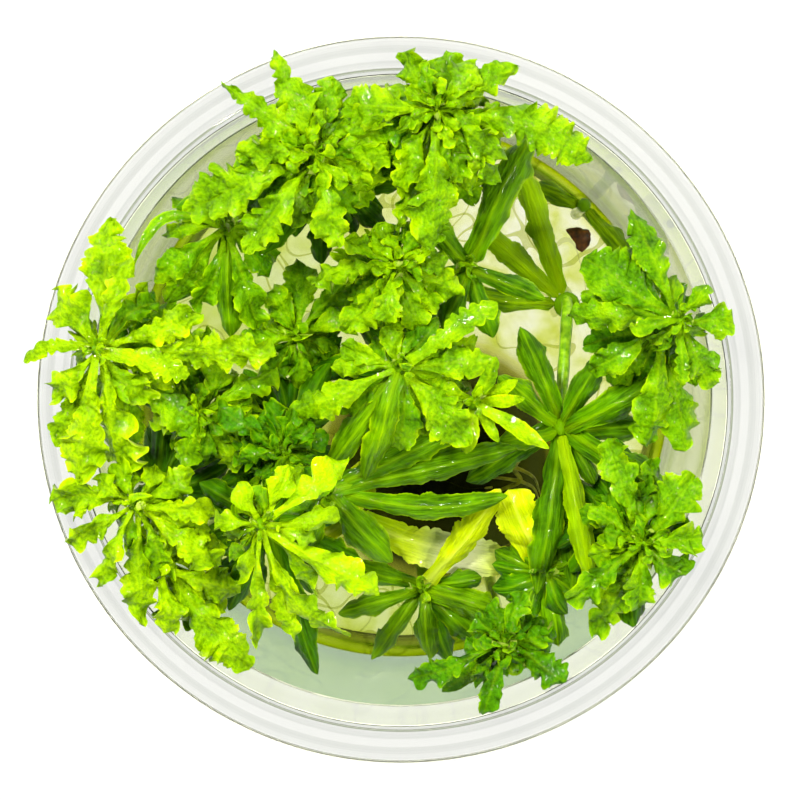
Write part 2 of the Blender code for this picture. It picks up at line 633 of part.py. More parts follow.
def build():
    vessel = cup()
    painted(vessel, "clear_cup", (0.9, 0.92, 0.9), 0.08, 1.0)
    filling = gel()
    painted(filling, "nutrient_gel", (0.85, 0.9, 0.62), 0.1, 0.6)
    taken = [taken_by("cup", vessel)]
    for row in PLANTS:
        stem = object_of(f"stem_{row.name}", *tube(row.stem, stem_radii(row), STEM_SIDES))
        painted(stem, f"stem_{row.name}", (0.3, 0.55, 0.05), 0.35)
        taken.append(taken_by(stem.name, stem))
    root_points = [Vector(p) for p in ROOT_POINTS]
    root = object_of("root", *tube(root_points, [ROOT_RADIUS] * len(root_points), ROOT_SIDES))
    painted(root, "root", (0.5, 0.48, 0.12), 0.5)
    taken.append(taken_by("root", root))
    scrap = object_of("withered_scrap", *leaf_solid(SCRAP, Vector(SCRAP_AT)))
    painted(scrap, "withered_scrap", (0.3, 0.14, 0.02), 0.5)
    taken.append(taken_by("withered_scrap", scrap))

    cores = {}
    for name, row, _, lower in whorls():
        cores[name] = ring(name, row) if lower else hub(name, row)
        taken.append(taken_by(name, cores[name]))
    for name, row, leaves, lower in whorls():
        blades, whorl = [], []
        for index, shape in enumerate(leaves):
            base = leaf_base(row, index, shape, lower)
            placed = settled(shape, base, name, taken, whorl)
            blades.append(object_of("blade", *leaf_solid(placed, base)))
        whole = joined(cores[name], blades)
        tone = row.lower_tone if lower else row.tone
        painted(whole, name, TONES[tone], 0.3)


def to_metres():
    for made in bpy.data.objects:
        made.data.transform(Matrix.Scale(MM, 4))
        made.data.update()


for old in list(bpy.data.objects):
    bpy.data.objects.remove(old)
build()
to_metres()
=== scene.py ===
# %% [markdown]
# # Downoi in a clear culture cup
# Downoi is a small water plant with crinkled leaves that spread from each crown like a star. Plant
# growers start it in a cup of jelly, and this lesson dresses such a cup, seen from straight above with
# its lid off. The fixed frame holds plain solids for the cup, the jelly, the stems and every whorl of
# leaves. Each solid is replaced here by a finer mesh in the same place, so the whole thing keeps its
# size.

# %% Load the fixed frame
import math
from collections import namedtuple

import bpy
import numpy as np
from mathutils import Matrix, Vector


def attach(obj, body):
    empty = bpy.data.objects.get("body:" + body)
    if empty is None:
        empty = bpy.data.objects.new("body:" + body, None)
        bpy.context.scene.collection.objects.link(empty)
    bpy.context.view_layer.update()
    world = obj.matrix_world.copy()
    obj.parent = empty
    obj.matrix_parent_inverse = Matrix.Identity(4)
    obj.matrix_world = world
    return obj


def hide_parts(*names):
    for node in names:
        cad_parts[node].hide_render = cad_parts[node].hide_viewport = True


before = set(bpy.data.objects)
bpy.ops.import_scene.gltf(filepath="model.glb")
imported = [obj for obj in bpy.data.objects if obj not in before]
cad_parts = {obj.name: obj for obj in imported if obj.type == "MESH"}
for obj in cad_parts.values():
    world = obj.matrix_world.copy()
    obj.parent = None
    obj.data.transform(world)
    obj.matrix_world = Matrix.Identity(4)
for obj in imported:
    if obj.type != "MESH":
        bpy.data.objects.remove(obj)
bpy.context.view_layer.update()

print("solids in the frame:", len(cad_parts))

# %% [markdown]
# Leaves are a few millimetres wide, so lengths are written in millimetres and turned to metres once, when
# a mesh or a pattern is made. Only the camera and the lights stand in metres. Colours are written as the
# hex codes that a colour picker shows. Blender mixes light with linear values, so one function turns each
# code into those.

# %% Units and colours
MM = 0.001


def linear(code):
    """An sRGB hex code, such as "8FC800", as linear red, green, blue and alpha."""
    parts = [int(code[i:i + 2], 16) / 255 for i in (0, 2, 4)]
    return [p / 12.92 if p <= 0.04045 else ((p + 0.055) / 1.055) ** 2.4 for p in parts] + [1.0]


print("bright leaf green is", [round(v, 3) for v in linear("8FC800")])

# %% [markdown]
# The photo looks straight down with a long lens. Blender's track functions turn the picture round when
# the aim is straight down, so the camera's own axes are written out: to its right is +X, and the rest
# follows from the aim.

# %% Camera
CAMERA_AT = Vector((0.0, 0.0228, 0.5))
CAMERA_AIM = Vector((-0.00027, 0.00027, 0.05))
LENS = 148

lens_data = bpy.data.cameras.new("camera")
lens_data.lens = LENS
camera = bpy.data.objects.new("camera", lens_data)
bpy.context.scene.collection.objects.link(camera)
back = (CAMERA_AT - CAMERA_AIM).normalized()
right = Vector((1, 0, 0))
up = back.cross(right).normalized()
camera.matrix_world = Matrix((
    (right.x, up.x, back.x, CAMERA_AT.x),
    (right.y, up.y, back.y, CAMERA_AT.y),
    (right.z, up.z, back.z, CAMERA_AT.z),
    (0, 0, 0, 1),
))
bpy.context.scene.camera = camera
print("camera stands", round(CAMERA_AT.length, 3), "m from the cup's foot")

# %% [markdown]
# A material is a small tree of nodes. Building it by hand takes many lines that all do the same, so one
# helper adds a node of any kind: it fills the node's sockets, sets the stops of a colour ramp, and
# changes the node's other settings. A plain value is set on its socket, and another node's output is
# linked to it.

# %% One helper for every node
TINT = {"data_type": "RGBA"}
SHADE = {"data_type": "RGBA", "blend_type": "MULTIPLY"}
SMOOTH = {"interpolation_type": "SMOOTHSTEP"}


def add(tree, kind, sockets=None, stops=(), **settings):
    """Adds a node. sockets are inputs by name or number, and stops a ramp's places and hex colours."""
    node = tree.nodes.new("ShaderNode" + kind)
    for key, value in settings.items():
        setattr(node, key, value)
    for key, value in (sockets or {}).items():
        if isinstance(value, bpy.types.NodeSocket):
            tree.links.new(value, node.inputs[key])
        else:
            node.inputs[key].default_value = value
    for _ in stops[2:]:
        node.color_ramp.elements.new(1.0)
    for number, (place, code) in enumerate(stops):
        node.color_ramp.elements[number].position = place
        node.color_ramp.elements[number].color = linear(code)
    return node


def new_material(name):
    """A material, and its tree, which is empty."""
    material = bpy.data.materials.new(name)
    material.use_nodes = True
    material.node_tree.nodes.clear()
    return material, material.node_tree


def blotches(tree, size, detail=2.0):
    """Noise whose patches are about size across, in millimetres."""
    place = add(tree, "TexCoord").outputs["Object"]
    noise = add(tree, "TexNoise", {"Vector": place, "Scale": 1 / (size * MM), "Detail": detail})
    return noise.outputs["Fac"]


print("node helpers are ready")

# %% [markdown]
# The floor is plain and white, and self-lit like a light table, so no shadow of the cup dirties it. Two
# broad lights overhead give soft light but aren't mirrored, and three small ones give the tiny white
# glints of wet leaves. The room is white low down and dim overhead: a bright ceiling would mirror itself
# in every leaf as a grey haze, and gaps between leaves would lose their depth.

# %% Floor, lights and world
FLOOR_HALF = 1.2
FLOOR_DROP = 0.0002
FLOOR_GLOW = 1.0
ROOM_LOW = 0.55
ROOM_HIGH = 0.06
DIMS_FROM = 0.3
DIM_ABOVE = 0.6
LIGHT_COLOUR = (1.0, 0.98, 0.84)
LIGHTS_AIM = Vector((0, 0, 0.04))
LIGHTS = (
    # name, place in metres, width across in metres, power in watts, whether it is mirrored
    ("soft_left", (-0.4, 0.42, 0.7), 0.3, 8.5, False),
    ("soft_right", (0.45, -0.15, 0.75), 0.35, 4.5, False),
    ("glint_left", (-0.2, 0.3, 0.8), 0.1, 5.4, True),
    ("glint_right", (0.28, -0.12, 0.8), 0.075, 2.9, True),
    ("glint_back", (0.06, 0.4, 0.7), 0.065, 1.6, True),
)

floor_paper, tree = new_material("white_paper")
paper = add(tree, "BsdfPrincipled", {
    "Base Color": linear("303030"), "Roughness": 0.9,
    "Emission Color": linear("FFFFFF"), "Emission Strength": FLOOR_GLOW,
})
add(tree, "OutputMaterial", {"Surface": paper.outputs[0]})
floor_mesh = bpy.data.meshes.new("floor")
corners = [(x * FLOOR_HALF, y * FLOOR_HALF, -FLOOR_DROP) for x, y in ((-1, -1), (1, -1), (1, 1), (-1, 1))]
floor_mesh.from_pydata(corners, [], [(0, 1, 2, 3)])
floor_mesh.materials.append(floor_paper)
floor = bpy.data.objects.new("floor", floor_mesh)
bpy.context.scene.collection.objects.link(floor)

for name, place, size, power, mirrored in LIGHTS:
    lamp = bpy.data.lights.new(name, "AREA")
    lamp.shape = "DISK"
    lamp.size = size
    lamp.energy = power
    lamp.color = LIGHT_COLOUR
    light = bpy.data.objects.new(name, lamp)
    light.location = place
    light.visible_glossy = mirrored
    light.rotation_euler = (LIGHTS_AIM - light.location).to_track_quat("-Z", "Y").to_euler()
    bpy.context.scene.collection.objects.link(light)

world = bpy.data.worlds.new("white_room")
world.use_nodes = True
room = world.node_tree
way = add(room, "TexCoord").outputs["Generated"]
height = add(room, "SeparateXYZ", {0: way}).outputs["Z"]
strength = add(room, "MapRange", {
    "Value": height, "From Min": DIMS_FROM, "From Max": DIM_ABOVE, "To Min": ROOM_LOW, "To Max": ROOM_HIGH,
}, **SMOOTH).outputs[0]
room.links.new(strength, room.nodes["Background"].inputs["Strength"])
room.nodes["Background"].inputs["Color"].default_value = (1, 1, 1, 1)
bpy.context.scene.world = world
bpy.context.scene.view_settings.view_transform = "Standard"
print("lights:", len(LIGHTS))

# %% [markdown]
# Leaf tissue is thin, waxy and wet. Light that meets a leaf is partly scattered back green, partly let
# through to glow on the other side, and partly mirrored by water. So the shader is a Principled surface
# with a clear coat, mixed with a Translucent one. The coat is the water: a thin wavy film with small
# beads standing on it, each of which catches a lamp. The mesh carries masks: relief (0 in a furrow, 1 on
# a puff), rib (along veins), rim (at the margin), age (0 old, 1 fresh), below (the underside) and bleach
# (where an old leaf has lost its green). Relief carries painted shade and painted light: furrows are
# painted darker and puffs and swells lighter, while noise adds the tissue's own patchy tone. Two more,
# grain_along and grain_across, are places on the leaf counted in cells, so that the noise of its tissue
# can be drawn out along a strap's veins.

# %% Leaf tissue
TISSUE = {
    # tone: furrow (painted shade), body, puff (painted light), rib, rim, underside
    "lime": ("88B200", "A4D200", "C2EA00", "C4E400", "D4F400", "D4E450"),
    "bright": ("447000", "88B600", "C0E400", "B4D800", "C8E800", "CCDC68"),
    "fresh": ("3C6800", "74A800", "ACD400", "A0CC00", "BCE000", "C4D860"),
    "mid": ("305A00", "68A000", "A0CC00", "A0CC00", "B4DC00", "B8D050"),
    "dark": ("264C00", "4C8A00", "7CB000", "88B400", "9CC800", "A0B448"),
    "straw": ("A8C000", "CCE000", "E8F460", "DCE868", "E0F020", "F4F4B0"),
}
AGE_SHADES = ((0.0, "84A848"), (0.35, "BCDC84"), (0.75, "FFFFFF"))
BLEACHED = "FFFFE4"
MASKS = ("relief", "rib", "rim", "age", "below", "bleach", "grain_along", "grain_across")
CELL_CONTRAST = 0.75
CELL_DEPTH = 0.3
LIT_THROUGH = 0.32
WATER_FILM = 0.6
FILM_WAVE, FILM_DEPTH = 0.8, 0.15
BEAD_SPACING, BEAD_SPREAD, BEAD_HEIGHT = 1.2, 0.4, 0.16


def leaf_tissue(tone):
    """Wet leaf tissue: waxy green under a film of water, paler on ribs and rims, painted darker in furrows
    and lighter on puffs.
    """
    furrow, body, puff, rib, rim, below = TISSUE[tone]
    material, tree = new_material("leaf_tissue_" + tone)
    mask = {name: add(tree, "Attribute", attribute_name=name).outputs["Fac"] for name in MASKS}
    spot = add(tree, "CombineXYZ", {0: mask["grain_along"], 1: mask["grain_across"]}).outputs[0]
    grain = add(tree, "TexNoise", {"Vector": spot, "Scale": 1.0, "Detail": 3.0}).outputs["Fac"]
    cells = add(tree, "Math", {0: grain, 1: CELL_CONTRAST, 2: -CELL_CONTRAST / 2}, operation="MULTIPLY_ADD")
    relief = add(tree, "Math", {0: cells.outputs[0], 1: mask["relief"]}, operation="ADD").outputs[0]
    # Painted shade and light: relief picks the furrow colour in hollows and the puff colour on bumps, and
    # the cells' noise adds the tissue's own patchy tone.
    colour = add(tree, "ValToRGB", {0: relief}, ((0.1, furrow), (0.5, body), (0.95, puff))).outputs[0]
    shade = add(tree, "ValToRGB", {0: mask["age"]}, AGE_SHADES).outputs[0]
    colour = add(tree, "Mix", {0: 1.0, 6: colour, 7: shade}, **SHADE).outputs[2]
    for name, tint in (("rib", rib), ("rim", rim), ("below", below), ("bleach", BLEACHED)):
        colour = add(tree, "Mix", {0: mask[name], 6: colour, 7: linear(tint)}, **TINT).outputs[2]
    pits = add(tree, "Bump", {"Strength": 1.0, "Distance": CELL_DEPTH * MM, "Height": grain}).outputs[0]
    place = add(tree, "TexCoord").outputs["Object"]
    bead = add(tree, "TexVoronoi", {"Vector": place, "Scale": 1 / (BEAD_SPACING * MM)}).outputs["Distance"]
    dome = add(tree, "MapRange", {0: bead, "From Min": BEAD_SPREAD, "From Max": 0.0}, **SMOOTH).outputs[0]
    beads = add(tree, "Bump", {"Strength": 1.0, "Distance": BEAD_HEIGHT * MM, "Height": dome}).outputs[0]
    waves = blotches(tree, FILM_WAVE, 1.0)
    film = add(tree, "Bump", {
        "Strength": 0.6, "Distance": FILM_DEPTH * MM, "Height": waves, "Normal": beads,
    }).outputs[0]
    skin = add(tree, "BsdfPrincipled", {
        "Base Color": colour, "Roughness": 0.5, "IOR": 1.15, "Coat Weight": WATER_FILM,
        "Coat Roughness": 0.045, "Coat IOR": 1.36, "Normal": pits, "Coat Normal": film,
    })
    glow = add(tree, "BsdfTranslucent", {"Color": colour, "Normal": pits})
    both = add(tree, "MixShader", {0: LIT_THROUGH, 1: skin.outputs[0], 2: glow.outputs[0]})
    add(tree, "OutputMaterial", {"Surface": both.outputs[0]})
    return material


LEAF_TISSUE = {tone: leaf_tissue(tone) for tone in TISSUE}
print("leaf tissues:", ", ".join(LEAF_TISSUE))

# %% [markdown]
# Stems, roots and the scrap that lies on the jelly are living or withered tissue too, but too narrow to
# show veins. Each is a patchy colour that is glossy where it is wet: a green stalk under the same film of
# water as the leaves, an olive root that is only damp, and a soft red-brown scrap.

# %% Stalk, root and withered finishes


def patchy_tissue(name, patch, stops, gloss):
    """Tissue whose colours change in patches about so many millimetres across."""
    material, tree = new_material(name)
    colour = add(tree, "ValToRGB", {0: blotches(tree, patch, 3.0)}, stops).outputs[0]
    skin = add(tree, "BsdfPrincipled", {"Base Color": colour, **gloss})
    add(tree, "OutputMaterial", {"Surface": skin.outputs[0]})
    return material


STALK_SKIN = patchy_tissue(
    "stalk_skin", 0.9, ((0.3, "5C9400"), (0.5, "88BC0C"), (0.75, "B4DC30")),
    {"Roughness": 0.3, "IOR": 1.42, "Coat Weight": 0.7, "Coat Roughness": 0.05, "Coat IOR": 1.33})
ROOT_SKIN = patchy_tissue(
    "root_skin", 1.2, ((0.3, "787008"), (0.5, "ACA410"), (0.75, "D0CC28")),
    {"Roughness": 0.4, "Coat Weight": 0.3})
WITHERED = patchy_tissue(
    "withered_tissue", 0.8, ((0.3, "2E1206"), (0.55, "6A3408"), (0.8, "9A5A10")),
    {"Roughness": 0.45, "Coat Weight": 0.3})
print("finishes:", len(bpy.data.materials))

# %% [markdown]
# The cup is thin clear polypropylene, moulded, so it is smooth and a little milky, with faint streaks
# round it from the mould. From above each zone of it meets the light in its own way: the wall is seen
# edge on and looks greenish from what it holds, the seams are nearly opaque, and the base can hardly be
# seen. So each zone has a tint and a clearness of its own. The wall's green tint, greener still at the
# front, is painted reflection of the plants and jelly inside, and two thin dark rings on the rim are
# painted shade along the lip's edges.

# %% Cup finishes
PLASTIC = {
    # zone: tint, streak, the share that is clear, IOR
    # The wall's green tint and streak are painted reflection of the plants and jelly inside.
    "wall": ("E6ECC8", "C8D498", 0.98, 1.45),
    "collar": ("F6F7F2", "EAECE4", 1.0, 1.1),
    "rim": ("EEEFEC", "DEE0DC", 0.96, 1.3),
    "base": ("FFFFFF", "FCFCF8", 1.0, 1.2),
    "seam": ("ECEEE2", "DCE0D0", 0.1, 1.3),
}
STREAKS_PER_MM = 0.9
# Painted reflection: the wall's tint turns greener towards the front.
FRONT_REFLECTION_TINT = "C4DABE"
FRONT_FROM, FRONT_TO = -10, -32
# Painted shade: two thin dark rings where the lip's edges turn the light away.
RIM_LINES = (44.5, 45.5)
LINE_HALF_WIDTH = 0.14
LINE_SHADE_TINT = "A8B098"


def place_and_radius(tree):
    """Each point's place, and how far it lies from the cup's axis, in metres."""
    place = add(tree, "TexCoord").outputs["Object"]
    level = add(tree, "VectorMath", {0: place, 1: (1, 1, 0)}, operation="MULTIPLY").outputs[0]
    return place, add(tree, "VectorMath", {0: level}, operation="LENGTH").outputs["Value"]


def clear_polypropylene(zone):
    """Clear moulded plastic. The wall is greener at the front, a painted reflection of what it holds, and
    the rim has two thin dark rings of painted shade.
    """
    tint, streak, clear, ior = PLASTIC[zone]
    material, tree = new_material("clear_polypropylene_" + zone)
    place, radius = place_and_radius(tree)
    spread = add(tree, "Math", {0: radius, 1: STREAKS_PER_MM / MM}, operation="MULTIPLY").outputs[0]
    rings = add(tree, "TexNoise", {"W": spread, "Scale": 1.0, "Detail": 2.0}, noise_dimensions="1D")
    colour = add(tree, "ValToRGB", {0: rings.outputs["Fac"]}, ((0.35, streak), (0.6, tint))).outputs[0]
    # The wall gets a painted reflection of the green inside, strongest at the front.
    if zone == "wall":
        y = add(tree, "SeparateXYZ", {0: place}).outputs["Y"]
        ends = {"From Min": FRONT_FROM * MM, "From Max": FRONT_TO * MM}
        forward = add(tree, "MapRange", {"Value": y, **ends}, **SMOOTH).outputs[0]
        colour = add(tree, "Mix", {0: forward, 6: colour, 7: linear(FRONT_REFLECTION_TINT)}, **TINT).outputs[2]
    # Painted shade: thin dark rings at the lip's edges.
    for line in RIM_LINES if zone == "rim" else ():
        near = add(tree, "Math", {0: radius, 1: line * MM, 2: LINE_HALF_WIDTH * MM}, operation="COMPARE")
        colour = add(tree, "Mix", {0: near.outputs[0], 6: colour, 7: linear(LINE_SHADE_TINT)}, **TINT).outputs[2]
    skin = add(tree, "BsdfPrincipled", {
        "Base Color": colour, "Roughness": 0.03, "IOR": ior, "Transmission Weight": clear,
    })
    add(tree, "OutputMaterial", {"Surface": skin.outputs[0]})
    return material


CLEAR_PLASTIC = {zone: clear_polypropylene(zone) for zone in PLASTIC}
print("zones of the cup:", ", ".join(CLEAR_PLASTIC))

# %% [markdown]
# The jelly is agar: pale yellow-green, cloudy and wet on top, with roots in it like threads. Its palest
# clouds are partly painted sheen, soft reflections of the wet top. Painted shade makes it palest where
# no plant shades it, olive at the wall, and dark under the densest plants, where roots also gather. Each
# of those is a ramp of colours by distance, multiplied onto the cloudy one.

# %% Jelly finish
# The clouds are partly the jelly's own cloudiness and partly painted sheen: their palest patches stand for
# soft reflections on its wet top.
CLOUD_AND_SHEEN_SIZE = 5.0
CLOUDS_AND_SHEEN = ((0.34, "D8E260"), (0.48, "F8FACC"), (0.64, "FFFFF4"))
THREAD_SPACING, THREAD_BAND, THREAD_TINT = 11.0, 0.007, "B0B858"
# Painted shade: the jelly turns olive towards the wall, fully at its top and less so down its side.
WALL_FROM, WALL_TO = 36, 39.5
WALL_SHADE_TINTS = ((0.0, "FFFFFF"), (0.3, "FAFC98"), (0.6, "B0CC18"), (0.9, "80A000"), (1.0, "586C00"))
SIDE_HEIGHT, TOP_HEIGHT, SIDE_SHARE = 13.5, 14.5, 0.25
# Painted shade: the first ramp dims the jelly away from the open patch near the wall, and the second
# darkens it under the densest plants, where roots also lie.
JELLY_SHADES = (
    # middle, the distances from it where the ramp starts and ends, how it eases, and its colours
    ((27, 22, 15), 10, 50, "LINEAR", ((0.0, "FFFFFF"), (0.4, "F0F4C8"), (1.0, "D8E4A4"))),
    ((6, -11, 15), 13, 21, "SMOOTHSTEP",
     ((0.2, "0A0C02"), (0.55, "5C5A10"), (0.8, "C0C060"), (1.0, "FFFFFF"))),
)


def agar_jelly():
    """Agar jelly: clouds partly painted sheen, threads, an olive edge of painted shade that fades down its
    side, and painted shade under the plants.
    """
    material, tree = new_material("agar_jelly")
    # Clouds: the jelly's own cloudiness, with painted sheen in the palest patches.
    colour = add(tree, "ValToRGB", {0: blotches(tree, CLOUD_AND_SHEEN_SIZE, 2.5)}, CLOUDS_AND_SHEEN).outputs[0]
    # A thread runs where smooth noise comes near its middle value.
    winding = {0: blotches(tree, THREAD_SPACING, 1.0), 1: 0.5, 2: THREAD_BAND}
    threads = add(tree, "Math", winding, operation="COMPARE").outputs[0]
    colour = add(tree, "Mix", {0: threads, 6: colour, 7: linear(THREAD_TINT)}, **TINT).outputs[2]
    place, radius = place_and_radius(tree)
    # Painted shade: olive towards the wall, weaker down the side.
    edge = add(tree, "MapRange", {"Value": radius, "From Min": WALL_FROM * MM, "From Max": WALL_TO * MM})
    at_top = add(tree, "MapRange", {
        "Value": add(tree, "SeparateXYZ", {0: place}).outputs["Z"],
        "From Min": SIDE_HEIGHT * MM, "From Max": TOP_HEIGHT * MM, "To Min": SIDE_SHARE, "To Max": 1.0,
    })
    edge = add(tree, "Math", {0: edge.outputs[0], 1: at_top.outputs[0]}, operation="MULTIPLY").outputs[0]
    shades = [add(tree, "ValToRGB", {0: edge}, WALL_SHADE_TINTS)]
    # Painted shade: each ramp darkens the jelly by its distance from a middle.
    for middle, start, end, easing, stops in JELLY_SHADES:
        away = add(tree, "VectorMath", {0: place, 1: Vector(middle) * MM}, operation="DISTANCE")
        ends = {"From Min": start * MM, "From Max": end * MM}
        share = add(tree, "MapRange", {0: away.outputs["Value"], **ends}, interpolation_type=easing)
        shades.append(add(tree, "ValToRGB", {0: share.outputs[0]}, stops))
    for shade in shades:
        colour = add(tree, "Mix", {0: 1.0, 6: colour, 7: shade.outputs[0]}, **SHADE).outputs[2]
    skin = add(tree, "BsdfPrincipled", {
        "Base Color": colour, "Roughness": 0.1, "IOR": 1.2, "Transmission Weight": 0.98,
    })
    add(tree, "OutputMaterial", {"Surface": skin.outputs[0]})
    return material


JELLY = agar_jelly()
print("finishes in all:", len(bpy.data.materials))

# %% [markdown]
# Every plantlet is written as one row: its stem's points, the leaves of its crown, and sometimes a lower
# whorl. A leaf is given by the direction that it points in, how far it reaches, its width and how far it
# bends sideways. The solids in the frame were made from the same rows, so leaf and solid share one place.
# What the rows add here is a look for some leaves, from crinkled to strap-like. How much higher a leaf's
# tip is than its base, its rise, and how high it arches aren't written, because a later step measures
# them.

# %% The plantlets
Leaf = namedtuple(
    "Leaf", "azimuth reach width sweep look age tone rise arch",
    defaults=(0.0, None, None, None, 0.0, 0.0))
Plant = namedtuple("Plant", "name tone look stem upper lower_height lower lower_tone")


def plant(name, tone, look, stem, upper, lower_height=None, lower=(), lower_tone="dark"):
    """A plantlet. A leaf's look, age and tone come from its plant where its row doesn't give them."""
    upper = [Leaf(*shape) for shape in upper]
    lower = [Leaf(*shape) for shape in lower]
    return Plant(name, tone, look, np.array(stem, float), upper, lower_height, lower, lower_tone)


